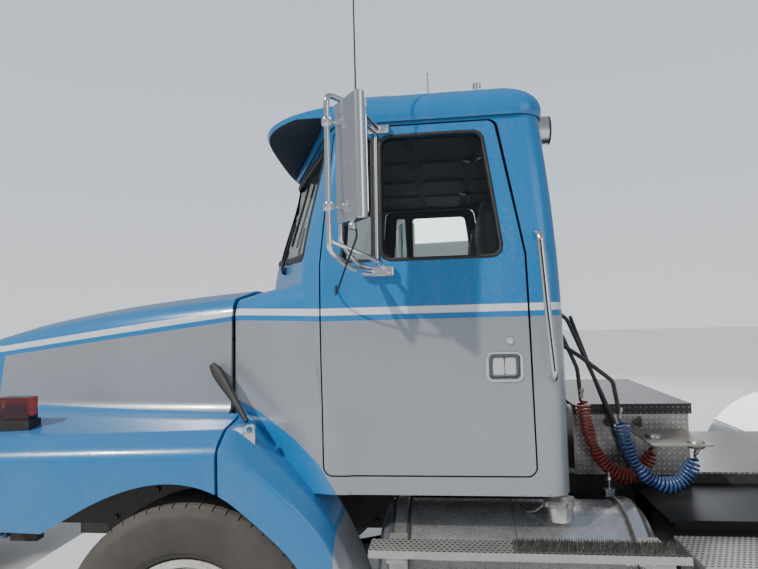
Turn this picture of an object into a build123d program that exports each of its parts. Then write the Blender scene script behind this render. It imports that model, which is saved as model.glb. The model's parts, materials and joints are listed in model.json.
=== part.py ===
"""Day-cab conventional truck tractor, three axles, tandem drive. Millimetres.

Frame: +X forward, +Y to the driver's (left) side, +Z up. The origin is on the ground, on the
centre line, half-way along the tractor. Shapes that exist on both sides are made once for the
left, side = +1, and mirrored by the sign of Y.
"""
from build123d import *
from math import cos, radians, sin
import os

os.makedirs("parts", exist_ok=True)

# Overall
length = 6750
nose_x = length / 2
tail_x = -length / 2

# Axles and tyres
tyre_radius = 505
axle_z = tyre_radius
front_axle_x = 1975
drive_axle_x = (-1325, -2645)
bogie_x = sum(drive_axle_x) / 2
front_tyre_y = 1035
dual_tyre_y = (751, 1084)
kingpin_y = 865

# Frame rails
rail_out_y = 432
rail_flange = 89
rail_web = 9
rail_top = 930
rail_bottom = 668
rail_in_y = rail_out_y - rail_flange

# Cab
sill_z = 1020
cab_rear_x = 575
cab_side_y = 1060
belt_z = 1870
gutter_z = 2430
roof_z = 2590
wall = 45
door_front_x = 1479
door_rear_x = 695
door_bottom_z = 1085
door_top_z = 2418
door_gap = 6
cowl_front_x = 1880
cowl_half_y = 880
cowl_nose_x = 1965

# Play between a pin and the eye that turns on it
pin_clearance = 0.4

# Hood
hood_gap = 12
seam_z = 1295
fender_rear_x = 1850
hood_wall = 22
hood_hinge_x = 3250
hood_hinge_z = 640
hinge_pin_radius = 12

# Tanks and boxes beside the frame
tank_radius = 310
tank_y = 800
tank_z = 605
tank_front_x = 1290
tank_rear_x = 255
step_top_z = 890

# Behind the cab
box_front_x = 445
box_rear_x = -55
box_half_y = 450
box_top_z = 1235

# Coupling
coupling_x = bogie_x + 85
coupling_pivot_z = 1080
coupling_top_z = 1210
kingpin_hole_radius = 25.4


def both_sides(half):
    """Close an outline given for y >= 0, centre line to centre line, with its mirror image."""
    return half + [(a, -b) for a, b in reversed(half) if abs(b) > 0.01]


def both_flanks(half):
    """As both_sides, for an outline across the tractor, given as (y, z) with y >= 0."""
    return half + [(-a, b) for a, b in reversed(half) if abs(a) > 0.01]


def write(piece, name):
    """Label a finished piece and write its file."""
    piece.part.label = name
    export_step(piece.part, f"parts/{name}.step")


def across(y):
    """The upright plane along the tractor at y, with local (x, z)."""
    return Plane(origin=(0, y, 0), x_dir=(1, 0, 0), z_dir=(0, -1, 0))


def side_prism(outline, y_low, y_high, radius=0):
    """A side outline of (x, z) points carried from y_low to y_high."""
    with BuildPart(mode=Mode.PRIVATE) as prism:
        with BuildSketch(across(y_high)) as profile:
            Polygon(*outline, align=None)
            if radius:
                fillet(profile.vertices(), radius)
        extrude(amount=y_high - y_low)
    return prism.part


def tube_along(points, radius, bends):
    """A round bar along straight runs joined by tangent arcs."""
    with BuildPart(mode=Mode.PRIVATE) as tube:
        with BuildLine() as path:
            if len(points) > 2:
                FilletPolyline(*points, radius=bends)
            else:
                Line(*points)
        start = path.wire() @ 0
        heading = path.wire() % 0
        with BuildSketch(Plane(origin=start, z_dir=heading)):
            Circle(radius)
        sweep()
    return tube.part


def swap_side(points, side):
    """Put a list of (x, y, z) points on the chosen side."""
    return [(x, y * side, z) for x, y, z in points]


# Cab body: rounded plan outlines, smoothly joined from the sill to the gutter.
# columns: z, rear x, side y, pillar x, screen corner x, screen corner y, screen nose x
cab_levels = (
    (sill_z, 575, 1058, 1479, 1570, 952, 1900),
    (1450, 575, 1062, 1479, 1570, 952, 1920),
    (belt_z - 20, 582, 1052, 1479, 1570, 952, 1952),
    (2150, 597, 1020, 1446, 1512, 928, 1873),
    (gutter_z, 622, 985, 1412, 1456, 905, 1800),
)
rear_corner_radius = 85
# The cowl carries the hood's section back to the doors.
# columns: x, side y, shoulder y, shoulder z, top z
cowl_rows = (
    (1300, 1030, 960, 1790, 1896),
    (1480, 1056, 1000, 1786, 1884),
    (1600, 1014, 960, 1770, 1868),
    (1838, 905, 868, 1722, 1826),
    (2000, 832, 795, 1690, 1796),
)
shoulder_radius = 95
cowl_nose_plan = [
    (1250, 0), (1250, 1100), (cowl_front_x, 1100), (cowl_front_x, cowl_half_y), (cowl_nose_x, 0),
]


def rounded_outline(plane, points, radii):
    """A closed outline on plane, with each corner that has a radius rounded by it."""
    with BuildSketch(plane, mode=Mode.PRIVATE) as outline:
        Polygon(*points, align=None)
        for (a, b), radius in zip(points, radii):
            if radius:
                corner = [v for v in outline.vertices() if abs(v.X - a) + abs(v.Y - b) < 0.01]
                fillet(corner, radius)
    return outline.sketch


def mirrored_radii(half):
    """The corner radii for an outline that both_sides or both_flanks has closed off the centre line."""
    return half + half[::-1]


def cab_body(inset):
    """The cab's closed outer form, drawn in by inset on every side and at the floor."""
    cabin, cowl = [], []
    for z, rear_x, side_y, pillar_x, corner_x, corner_y, screen_x in cab_levels:
        height = z + inset if z == sill_z else z
        half = [
            (rear_x + inset, side_y - inset),
            (pillar_x, side_y - inset),
            (corner_x - inset, corner_y - inset),
            (screen_x - inset, 60),
        ]
        radii = mirrored_radii([rear_corner_radius - 0.5 * inset, 30, 40, 0])
        cabin.append(rounded_outline(Plane.XY.offset(height), both_sides(half), radii))
    for x, side_y, shoulder_y, shoulder_z, top_z in cowl_rows:
        half = [
            (0.5 * shoulder_y, top_z - 8 - inset),
            (shoulder_y + 10 - inset, shoulder_z + 40 - inset),
            (side_y - inset, seam_z),
            (side_y - inset, sill_z + inset),
        ]
        radii = mirrored_radii([300, shoulder_radius - 0.5 * inset, 0, 0])
        cowl.append(rounded_outline(Plane.YZ.offset(x), both_flanks(half), radii))
    nose_plan = [(x - inset if x > cowl_front_x - 1 else x, y) for x, y in cowl_nose_plan]
    with BuildPart(mode=Mode.PRIVATE) as body:
        loft(sections=cowl)
        with BuildSketch(Plane.XY.offset(sill_z - 100)):
            Polygon(*both_sides(nose_plan), align=None)
        extrude(amount=1100, mode=Mode.INTERSECT)
        loft(sections=cabin)
    return body.part


cab_outer = cab_body(0)
cab_inner = cab_body(wall)

# Door and window outlines, (x, z) seen from the side
door_outline = [
    (door_front_x, door_bottom_z),
    (door_front_x, belt_z + 10),
    (1424, door_top_z),
    (790, door_top_z),
    (705, 1890),
    (door_rear_x, door_bottom_z),
]
vent_outline = [(1392, 1888), (1352, 2372), (1272, 2372), (1272, 1888)]
window_outline = [(1238, 1888), (1238, 2372), (850, 2372), (790, 1888)]


def shrink_outline(outline, amount):
    """The outline drawn in by amount on every side, as a face's own vertices."""
    with BuildSketch() as small:
        Polygon(*outline, align=None)
        offset(amount=-amount, kind=Kind.INTERSECTION)
    return [(v.X, v.Y) for v in small.face().outer_wire().vertices()]


# Screens in the front and the back, (y, z)
screen_outline = [(26, 1985), (26, 2395), (868, 2368), (915, 1925)]
rear_window_half_y = 560
rear_window_low = 1900
rear_window_high = 2310

with BuildPart() as cab_shell:
    add(cab_outer)
    add(cab_inner, mode=Mode.SUBTRACT)
    for side in (1, -1):
        low_y, high_y = sorted((side * 800, side * 1100))
        add(side_prism(door_outline, low_y, high_y, 38), mode=Mode.SUBTRACT)
        with BuildSketch(Plane.YZ.offset(1300)) as screen:
            Polygon(*[(side * y, z) for y, z in screen_outline], align=None)
            fillet(screen.vertices(), 20)
        extrude(amount=800, mode=Mode.SUBTRACT)
    with BuildSketch(Plane.YZ.offset(cab_rear_x - 20)):
        with Locations((0, (rear_window_low + rear_window_high) / 2)):
            RectangleRounded(2 * rear_window_half_y, rear_window_high - rear_window_low, 60)
    extrude(amount=200, mode=Mode.SUBTRACT)
write(cab_shell, "cab_shell")

# Glass: a thin layer of the cab's own form, cut to each opening
glass_depth = 14
glass_thick = 6
glass_outer = cab_body(glass_depth)
glass_inner = cab_body(glass_depth + glass_thick)

with BuildPart() as cab_glass:
    for side in (1, -1):
        with BuildSketch(Plane.YZ.offset(1300)) as screen:
            Polygon(*[(side * y, z) for y, z in screen_outline], align=None)
            fillet(screen.vertices(), 20)
        extrude(amount=800)
    with BuildSketch(Plane.YZ.offset(cab_rear_x - 20)):
        with Locations((0, (rear_window_low + rear_window_high) / 2)):
            RectangleRounded(2 * rear_window_half_y, rear_window_high - rear_window_low, 60)
    extrude(amount=200)
    add(glass_outer, mode=Mode.INTERSECT)
    add(glass_inner, mode=Mode.SUBTRACT)
write(cab_glass, "cab_glass")

# Doors: a skin to the opening's edge, and a body behind it set in all round, so that it swings clear
door_swing_gap = 12
door_skin = 8
door_step = 16
skin_outline = [
    (door_front_x - door_gap, door_bottom_z + door_gap),
    (door_front_x - door_gap, belt_z + 10),
    (1424 - door_gap, door_top_z - door_gap),
    (790 + door_swing_gap, door_top_z - door_gap),
    (705 + door_gap + 2, 1890),
    (door_rear_x + door_gap, door_bottom_z + door_gap),
]
body_outline = shrink_outline(skin_outline, door_step)
handle_x = 800
handle_z = 1483
cab_skin_inner = cab_body(door_skin)
skin_low_y = 800
skin_high_y = 1100
with BuildPart() as door_body:
    add(side_prism(body_outline, skin_low_y, skin_high_y, 20))
    add(cab_skin_inner, mode=Mode.INTERSECT)
    add(cab_inner, mode=Mode.SUBTRACT)
with BuildPart() as door_left:
    add(side_prism(skin_outline, skin_low_y, skin_high_y, 32))
    add(cab_outer, mode=Mode.INTERSECT)
    add(cab_skin_inner, mode=Mode.SUBTRACT)
    add(door_body.part)
    add(side_prism(vent_outline, skin_low_y, skin_high_y, 14), mode=Mode.SUBTRACT)
    add(side_prism(window_outline, skin_low_y, skin_high_y, 34), mode=Mode.SUBTRACT)
    with BuildSketch(across(cab_side_y + 4)):
        with Locations((handle_x, handle_z)):
            RectangleRounded(118, 96, 18)
    extrude(amount=28, mode=Mode.SUBTRACT)
    with BuildSketch(across(cab_side_y + 4)):
        with Locations((handle_x, handle_z)):
            RectangleRounded(132, 110, 22)
            RectangleRounded(110, 88, 16, mode=Mode.SUBTRACT)
    extrude(amount=20)
    with BuildSketch(across(cab_side_y - 2)):
        with Locations((handle_x, handle_z - 6)):
            RectangleRounded(86, 58, 10)
    extrude(amount=24)
with BuildPart() as glass_left:
    add(side_prism(vent_outline, skin_low_y, skin_high_y, 14))
    add(side_prism(window_outline, skin_low_y, skin_high_y, 34))
    add(glass_outer, mode=Mode.INTERSECT)
    add(glass_inner, mode=Mode.SUBTRACT)
for piece, name in ((door_left, "door"), (glass_left, "door_glass")):
    write(piece, f"{name}_left")
    with BuildPart() as other_side:
        add(piece.part.mirror(Plane.XZ))
    write(other_side, f"{name}_right")

# Roof cap with its gutter, and the deep shade over the screen
# columns: z, rear x, half width, front x, front nose x
roof_levels = (
    (gutter_z, 612, 996, 1412, 1812),
    (2474, 606, 999, 1414, 1812),
    (2536, 632, 962, 1404, 1720),
    (2576, 700, 870, 1380, 1600),
    (2598, 820, 700, 1300, 1440),
)
# columns: y, lip x, lip z, height of the top where it leaves the roof
shade_rows = (
    (-944, 1590, 2500, 2522),
    (-880, 1690, 2488, 2550),
    (-520, 1806, 2476, 2582),
    (0, 1846, 2472, 2590),
    (520, 1806, 2476, 2582),
    (880, 1690, 2488, 2550),
    (944, 1590, 2500, 2522),
)
shade_root_x = 1400


def shade_section(y, lip_x, lip_z, top_z):
    """The shade cut along the tractor at y: a bowed blade from the roof to its lip."""
    reach = lip_x - shade_root_x
    with BuildSketch(across(y), mode=Mode.PRIVATE) as section:
        with BuildLine():
            Spline((shade_root_x, top_z), (shade_root_x + 0.55 * reach, top_z - 0.3 * (top_z - lip_z)),
                   (lip_x, lip_z))
            Line((lip_x, lip_z), (lip_x - 8, lip_z - 18))
            Spline((lip_x - 8, lip_z - 18), (shade_root_x + 0.5 * reach, top_z - 0.3 * (top_z - lip_z) - 34),
                   (shade_root_x, top_z - 40))
            Line((shade_root_x, top_z - 40), (shade_root_x, top_z))
        make_face()
    return section.sketch


with BuildPart() as shade:
    loft(sections=[shade_section(*row) for row in shade_rows])

with BuildPart() as roof_cap:
    levels = []
    for z, rear_x, half_y, front_x, front_nose in roof_levels:
        half = [(rear_x, half_y), (front_x, half_y), (front_x + 50, half_y - 80), (front_nose, 60)]
        levels.append(rounded_outline(Plane.XY.offset(z), both_sides(half), mirrored_radii([110, 20, 30, 0])))
    loft(sections=levels)
    with BuildSketch(Plane.XY.offset(gutter_z)):
        Polygon(*both_sides([
            (700, 0), (700, 860), (1390, 860), (1560, 300), (1600, 0),
        ]), align=None)
    extrude(amount=roof_z - gutter_z - 60, taper=18, mode=Mode.SUBTRACT)
    add(shade.part)
    add(cab_outer, mode=Mode.SUBTRACT)
write(roof_cap, "roof_cap")

# Cab fittings
dash_profile = [(1450, 1330), (1450, 1680), (1500, 1735), (1690, 1725), (1780, 1660), (1780, 1330)]
dash_half_y = 800
column_foot = Vector(1560, 480, 1400)
column_head = Vector(1340, 480, 1800)
column_axis = (column_head - column_foot).normalized()
with BuildPart() as dashboard:
    with BuildSketch(Plane.XZ):
        Polygon(*dash_profile, align=None)
    extrude(amount=dash_half_y, both=True)
    with BuildSketch(Plane(origin=column_foot, z_dir=column_axis)):
        Circle(42)
    extrude(amount=(column_head - column_foot).length)
write(dashboard, "dashboard")

wheel_radius = 228
with BuildPart() as steering_wheel:
    rim_plane = Plane(origin=column_head + column_axis * 30, z_dir=column_axis)
    with BuildSketch(rim_plane):
        Circle(wheel_radius + 14)
        Circle(wheel_radius - 14, mode=Mode.SUBTRACT)
    extrude(amount=24)
    with BuildSketch(Plane(origin=column_head + column_axis * 6, z_dir=column_axis)):
        Circle(62)
    extrude(amount=44)
    with BuildSketch(rim_plane):
        with PolarLocations(wheel_radius / 2 + 20, 4, start_angle=45):
            Rectangle(wheel_radius - 60, 26)
    extrude(amount=16)
write(steering_wheel, "steering_wheel")

seat_x = 960
seat_y = 480
floor_top = sill_z + wall
with BuildPart() as seats:
    for side in (1, -1):
        with BuildSketch(Plane.XY.offset(floor_top)):
            with Locations((seat_x, side * seat_y)):
                RectangleRounded(360, 360, 30)
        extrude(amount=400)
        with BuildSketch(Plane.XY.offset(floor_top + 400)):
            with Locations((seat_x + 20, side * seat_y)):
                RectangleRounded(500, 500, 60)
        extrude(amount=130)
        back_outline = [(742, 1585), (700, 2180), (800, 2190), (862, 1600)]
        add(side_prism(back_outline, side * seat_y - 230, side * seat_y + 230, 30))
write(seats, "seats")

# Frame
rail_front_x = 3200
rail_rear_x = tail_x + 60
# columns: x, z low, z high
crossmember_rows = (
    (3120, 690, 800),
    (800, 850, 921),
    (150, 850, 921),
    (-650, 850, 921),
    (bogie_x, 850, 921),
    (-2960, 700, 921),
    (rail_rear_x + 40, 700, 921),
)
with BuildPart() as frame:
    for side in (1, -1):
        with BuildSketch(Plane.YZ.offset(rail_rear_x)):
            outer_low, inner_low = side * rail_out_y, side * rail_in_y
            web_in = side * (rail_out_y - rail_web)
            Polygon(
                (outer_low, rail_bottom), (outer_low, rail_top), (inner_low, rail_top),
                (inner_low, rail_top - rail_web), (web_in, rail_top - rail_web),
                (web_in, rail_bottom + rail_web), (inner_low, rail_bottom + rail_web),
                (inner_low, rail_bottom), align=None)
        extrude(amount=rail_front_x - rail_rear_x)
    for x, z_low, z_high in crossmember_rows:
        with BuildSketch(across(rail_out_y - rail_web)):
            Polygon(
                (x - 40, z_low), (x - 40, z_high), (x + 40, z_high), (x + 40, z_high - 9),
                (x - 31, z_high - 9), (x - 31, z_low + 9), (x + 40, z_low + 9), (x + 40, z_low),
                align=None)
        extrude(amount=2 * (rail_out_y - rail_web))
    for side in (1, -1):
        low_y, high_y = sorted((side * 350, side * 404))
        add(side_prism([(3140, 560), (3140, 668), (3290, 668), (3290, 560)], low_y, high_y))
        low_y, high_y = sorted((side * 380, side * 520))
        with BuildSketch(across(high_y)):
            with Locations((hood_hinge_x, hood_hinge_z)):
                Circle(hinge_pin_radius)
        extrude(amount=high_y - low_y)
write(frame, "frame")

# Bumper: a bent plate with swept-back ends
bumper_low = 330
bumper_high = 590
bumper_plate = 14
bumper_plan = [
    (nose_x, 0), (nose_x, 820), (nose_x - 60, 1060), (nose_x - 190, 1190),
    (nose_x - 200, 1180), (nose_x - 72, 1050), (nose_x - bumper_plate, 814), (nose_x - bumper_plate, 0),
]
with BuildPart() as bumper:
    with BuildSketch(Plane.XY.offset(bumper_low)):
        Polygon(*both_sides(bumper_plan), align=None)
    extrude(amount=bumper_high - bumper_low)
write(bumper, "bumper")

# Engine and gearbox, one closed mass; the radiator ahead of it
engine_rear_x = 2010
engine_front_x = 2960
gearbox_rear_x = 900
shaft_z = 760
with BuildPart() as engine:
    with BuildSketch(Plane.XY.offset(570)):
        with Locations(((engine_rear_x + engine_front_x) / 2, 0)):
            Rectangle(engine_front_x - engine_rear_x, 620)
    extrude(amount=990)
    with BuildSketch(Plane.YZ.offset(gearbox_rear_x)):
        with Locations((0, shaft_z)):
            RectangleRounded(430, 380, 80)
    extrude(amount=engine_rear_x - gearbox_rear_x)
write(engine, "engine")

with BuildPart() as radiator:
    with BuildSketch(Plane.XY.offset(800)):
        with Locations((3110, 0)):
            Rectangle(80, 660)
    extrude(amount=700)
write(radiator, "radiator")

# Front axle: dropped beam, leaf springs and their hangers
beam_half = 45
spring_seat_z = 460
leaf_thick = 26
leaf_width = 80
spring_y = 390
kingpin_radius = 22
eye_low = 460
eye_high = 550
beam_front = [
    (0, 370), (560, 370), (720, 440), (kingpin_y - 30, 470),
    (kingpin_y - 30, 540), (700, 530), (540, spring_seat_z), (0, spring_seat_z),
]
# columns: half length, height of the leaf's lowest face over the seat
leaf_rows = ((380, 0), (560, leaf_thick), (720, 2 * leaf_thick))
leaf_arc = 2900


def leaf_rise(x):
    """How far a leaf's curve has risen at x from its middle."""
    return leaf_arc - (leaf_arc ** 2 - x ** 2) ** 0.5


with BuildPart() as front_axle:
    with BuildSketch(Plane.YZ.offset(front_axle_x - beam_half)):
        Polygon(*both_flanks(beam_front), align=None)
    extrude(amount=2 * beam_half)
    for side in (1, -1):
        with BuildSketch(Plane.XY.offset(eye_low)):
            with Locations((front_axle_x, side * kingpin_y)):
                Circle(48)
        extrude(amount=eye_high - eye_low)
        with BuildSketch(Plane.XY.offset(eye_low)):
            with Locations((front_axle_x, side * kingpin_y)):
                Circle(kingpin_radius + pin_clearance)
        extrude(amount=eye_high - eye_low, mode=Mode.SUBTRACT)
        for half_length, height in leaf_rows:
            with BuildSketch(across(side * spring_y + leaf_width / 2)):
                base = spring_seat_z + height
                rise = leaf_rise(half_length)
                left_x, right_x = front_axle_x - half_length, front_axle_x + half_length
                with BuildLine():
                    ThreePointArc((left_x, base + rise), (front_axle_x, base), (right_x, base + rise))
                    Line((right_x, base + rise), (right_x, base + rise + leaf_thick))
                    ThreePointArc((right_x, base + rise + leaf_thick), (front_axle_x, base + leaf_thick),
                                  (left_x, base + rise + leaf_thick))
                    Line((left_x, base + rise + leaf_thick), (left_x, base + rise))
                make_face()
            extrude(amount=leaf_width)
        for end in (-1, 1):
            hanger_x = front_axle_x + end * 700
            low_y, high_y = sorted((side * (spring_y - 40), side * (spring_y + 40)))
            add(side_prism([
                (hanger_x - 45, 610), (hanger_x - 60, rail_bottom),
                (hanger_x + 60, rail_bottom), (hanger_x + 45, 610)], low_y, high_y))
write(front_axle, "front_axle")

# Steering knuckles: fork, kingpin, spindle and the arm back to the tie rod
arm_back = 150
arm_y = kingpin_y
arm_z = 392
spindle_radius = 38
spindle_end_y = 1092
ball_radius = 12
tie_rod_z = 368
for side, word in ((1, "left"), (-1, "right")):
    pin_y = side * kingpin_y
    with BuildPart() as knuckle:
        for low, high in ((400, eye_low - 4), (eye_high + 4, 606)):
            with BuildSketch(Plane.XY.offset(low)):
                with Locations((front_axle_x, pin_y)):
                    Circle(46)
                with Locations((front_axle_x, side * (kingpin_y + 50))):
                    Rectangle(92, 60)
            extrude(amount=high - low)
        with BuildSketch(Plane.XY.offset(396)):
            with Locations((front_axle_x, pin_y)):
                Circle(kingpin_radius)
        extrude(amount=214)
        with BuildSketch(Plane.XY.offset(400)):
            with Locations((front_axle_x, side * (kingpin_y + 65))):
                Rectangle(92, 26)
        extrude(amount=206)
        with BuildSketch(Plane(origin=(front_axle_x, side * (kingpin_y + 70), axle_z), z_dir=(0, side, 0))):
            Circle(spindle_radius)
        extrude(amount=spindle_end_y - kingpin_y - 70)
        with BuildSketch(Plane.XY.offset(arm_z)):
            Polygon(
                (front_axle_x + 20, side * (kingpin_y + 34)), (front_axle_x + 20, side * (kingpin_y - 34)),
                (front_axle_x - arm_back - 10, side * (arm_y - 20)), (front_axle_x - arm_back - 22, side * arm_y),
                (front_axle_x - arm_back - 10, side * (arm_y + 20)),
                align=None)
        extrude(amount=24)
        with BuildSketch(Plane.XY.offset(tie_rod_z - 24)):
            with Locations((front_axle_x - arm_back, side * arm_y)):
                Circle(ball_radius)
        extrude(amount=arm_z - tie_rod_z + 24)
    write(knuckle, f"knuckle_{word}")

with BuildPart() as tie_rod:
    with BuildSketch(across(arm_y - 18)):
        with Locations((front_axle_x - arm_back, tie_rod_z)):
            Circle(14)
    extrude(amount=2 * (arm_y - 18))
    for side in (1, -1):
        with BuildSketch(Plane.XY.offset(tie_rod_z - 18)):
            with Locations((front_axle_x - arm_back, side * arm_y)):
                Circle(24)
        extrude(amount=36)
        with BuildSketch(Plane.XY.offset(tie_rod_z - 30)):
            with Locations((front_axle_x - arm_back, side * arm_y)):
                Circle(ball_radius + pin_clearance)
        extrude(amount=60, mode=Mode.SUBTRACT)
write(tie_rod, "tie_rod")

# Drive axles: banjo housings, pinion noses, spindles and the shafts between them
banjo_radius = 190
pinion_z = axle_z + 35
shaft_radius = 52
drive_spindle = 46
chamber_in_y = 462
chamber_radius = 72
chamber_z = 590
housing_outline = [
    (0, 0), (0, banjo_radius), (95, banjo_radius), (190, 100), (260, 66),
    (630, 66), (630, drive_spindle), (965, drive_spindle), (965, 0),
]
with BuildPart() as drive_axles:
    for x in drive_axle_x:
        for side in (1, -1):
            with BuildSketch(Plane(origin=(x, 0, axle_z), x_dir=(0, side, 0), z_dir=(-side, 0, 0))):
                Polygon(*housing_outline, align=None)
            revolve(axis=Axis((x, 0, axle_z), (0, 1, 0)))
        with BuildSketch(Plane.YZ.offset(x + 120)):
            with Locations((0, pinion_z)):
                Circle(72)
        extrude(amount=190)
    with BuildSketch(Plane.YZ.offset(drive_axle_x[1] + 300)):
        with Locations((0, pinion_z)):
            Circle(shaft_radius)
    extrude(amount=drive_axle_x[0] - drive_axle_x[1] - 460)
    for x in drive_axle_x:
        for side in (1, -1):
            with BuildSketch(Plane(origin=(x - 170, side * chamber_in_y, chamber_z), z_dir=(0, side, 0))):
                Circle(chamber_radius)
            extrude(amount=130)
            low_y, high_y = sorted((side * 500, side * 545))
            add(side_prism([(x - 30, 520), (x - 30, 560), (x - 120, 640), (x - 120, 560)], low_y, high_y))
    main_start = Vector(drive_axle_x[0] + 300, 0, pinion_z)
    main_end = Vector(gearbox_rear_x, 0, shaft_z)
    with BuildSketch(Plane(origin=main_start, z_dir=main_end - main_start)):
        Circle(shaft_radius)
    extrude(amount=(main_end - main_start).length - 12)
write(drive_axles, "drive_axles")

# Walking-beam suspension: a beam each side under both axles, hung from a saddle on the rail
beam_in_y = 458
beam_out_y = 548
walking_beam = [
    (drive_axle_x[0] + 95, 400), (drive_axle_x[0] + 80, axle_z), (drive_axle_x[0] - 90, axle_z),
    (drive_axle_x[0] - 200, 400), (bogie_x, 420), (drive_axle_x[1] + 200, 400),
    (drive_axle_x[1] + 90, axle_z), (drive_axle_x[1] - 80, axle_z), (drive_axle_x[1] - 95, 400),
    (drive_axle_x[1] + 60, 330), (bogie_x, 290), (drive_axle_x[0] - 60, 330),
]
saddle = [(bogie_x - 320, 835), (bogie_x + 320, 835), (bogie_x + 110, 300), (bogie_x - 110, 300)]
with BuildPart() as rear_suspension:
    for side in (1, -1):
        low_y, high_y = sorted((side * beam_in_y, side * beam_out_y))
        add(side_prism(walking_beam, low_y, high_y))
        low_y, high_y = sorted((side * rail_out_y, side * beam_in_y))
        add(side_prism(saddle, low_y, high_y))
    with BuildSketch(across(beam_in_y)):
        with Locations((bogie_x, 345)):
            Circle(48)
    extrude(amount=2 * beam_in_y)
    add(drive_axles.part, mode=Mode.SUBTRACT)
write(rear_suspension, "rear_suspension")

# Wheels: profiles of (offset outwards, radius) turned about the axle
tyre_profile = [
    (-101, 288), (101, 288), (101, 304), (132, 350), (135, 420), (112, 496), (92, tyre_radius),
    (-92, tyre_radius), (-112, 496), (-135, 420), (-132, 350), (-101, 304),
]
barrel_profile = [
    (-112, 302), (-103, 302), (-101, 287), (-50, 268), (50, 268), (101, 287), (103, 302), (112, 302),
    (112, 276), (60, 254), (-60, 254), (-112, 276),
]
# Front: the disc stands at the outer face, the hub reaches in over the spindle
front_disc = [(46, 256), (74, 256), (92, 200), (92, 72), (104, 72), (104, 0), (72, 0), (72, 39), (-50, 39),
              (-50, 76), (40, 84), (40, 128), (-60, 150), (-60, 206), (-50, 206), (52, 190), (74, 190)]
hand_holes = 10
hand_hole_radius = 23
hand_hole_ring = 224


def hand_hole_ring_cut(centre, near, far):
    """What the ring of hand holes takes out of a wheel disc, from offset near to far along its axle."""
    with BuildPart(mode=Mode.PRIVATE) as cut:
        with BuildSketch(Plane(origin=centre, x_dir=(1, 0, 0), z_dir=(0, 1, 0)).offset(near)):
            with PolarLocations(hand_hole_ring, hand_holes):
                Circle(hand_hole_radius)
        extrude(amount=far - near)
    return cut.part


def turned(profile, centre, side):
    """A profile of (offset outwards, radius) turned about the axle line through centre."""
    with BuildPart(mode=Mode.PRIVATE) as round_piece:
        with BuildSketch(Plane(origin=centre, x_dir=(0, side, 0), z_dir=(-side, 0, 0))):
            Polygon(*profile, align=None)
        revolve(axis=Axis(centre, (0, 1, 0)))
    return round_piece.part


def bored_disc(disc, centre, near, far):
    """A wheel disc on the left side with its hand holes through it."""
    with BuildPart(mode=Mode.PRIVATE) as bored:
        add(turned(disc, centre, 1))
        add(hand_hole_ring_cut(centre, near, far), mode=Mode.SUBTRACT)
    return bored.part


# The outer disc of a twin pair is dished in and the inner one out, so both bolt face to face on the hub
disc_in = [(46, 256), (74, 256), (150, 210), (166, 200), (166, 90), (152, 90), (152, 196), (136, 200)]
disc_out = [
    (-46, 256), (-74, 256), (-150, 210), (-167, 200), (-167, 90), (-153, 90), (-153, 196), (-136, 200),
]
hub = [(-40, 47), (-40, 90), (190, 90), (240, 80), (240, 0), (226, 0), (226, 47)]
drum = [(-70, 190), (-70, 215), (120, 215), (153, 120), (153, 88), (140, 88), (110, 190)]
front_centre = (front_axle_x, front_tyre_y, axle_z)
with BuildPart() as front_tyre:
    add(turned(tyre_profile, front_centre, 1))
with BuildPart() as front_rim:
    add(turned(barrel_profile, front_centre, 1))
    add(bored_disc(front_disc, front_centre, 55, 110))
wheel_pieces = [(front_tyre.part, "front_tyre"), (front_rim.part, "front_rim")]
for number, x in enumerate(drive_axle_x, start=1):
    inner, outer = [(x, y, axle_z) for y in dual_tyre_y]
    with BuildPart() as drive_tyres:
        for centre in (inner, outer):
            add(turned(tyre_profile, centre, 1))
    with BuildPart() as drive_rims:
        add(bored_disc(disc_in, inner, 55, 180))
        add(bored_disc(disc_out, outer, -180, -55))
        for centre in (inner, outer):
            add(turned(barrel_profile, centre, 1))
        add(turned(hub, inner, 1))
        add(turned(drum, inner, 1))
    wheel_pieces += [(drive_tyres.part, f"drive_tyres_{number}"), (drive_rims.part, f"drive_rims_{number}")]
for piece, name in wheel_pieces:
    for word in ("left", "right"):
        with BuildPart() as wheel_piece:
            add(piece if word == "left" else piece.mirror(Plane.XZ))
        write(wheel_piece, f"{name}_{word}")

# Hood: rounded cross sections from the cab to the grille, smoothly joined
# columns: x, hood side y, shoulder y, shoulder z, top z, crown y, crown z, outer y, lower edge z
hood_rows = (
    (1800, 909, 873, 1725, 1829, 1085, 1267, 1177, 905),
    (2150, 880, 838, 1700, 1806, 1094, 1260, 1184, 905),
    (2550, 826, 776, 1660, 1768, 1098, 1250, 1185, 905),
    (2900, 760, 700, 1612, 1722, 1094, 1238, 1182, 905),
    (3150, 700, 634, 1570, 1680, 1070, 1220, 1162, 860),
    (3270, 658, 590, 1540, 1646, 1028, 1193, 1118, 800),
    (3330, 626, 560, 1518, 1618, 984, 1166, 1070, 740),
)
# the rows up to this one make the long flanks, the rows from it on the rounded nose
nose_row = 4
foot_radius = 70
crown_radius = 70
# the edge of the wheel arch, from the front foot of the fender back to the fixed part below the cab
hood_arch = [
    (2530, 900), (2462, 938), (2300, 1022), (2180, 1066), (2062, 1088), (1955, 1084), (1850, 1052),
]
fixed_arch = [(1850, 1052), (1756, 990), (1662, 910), (1578, 826), (1512, 720), (1474, 600)]


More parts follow.
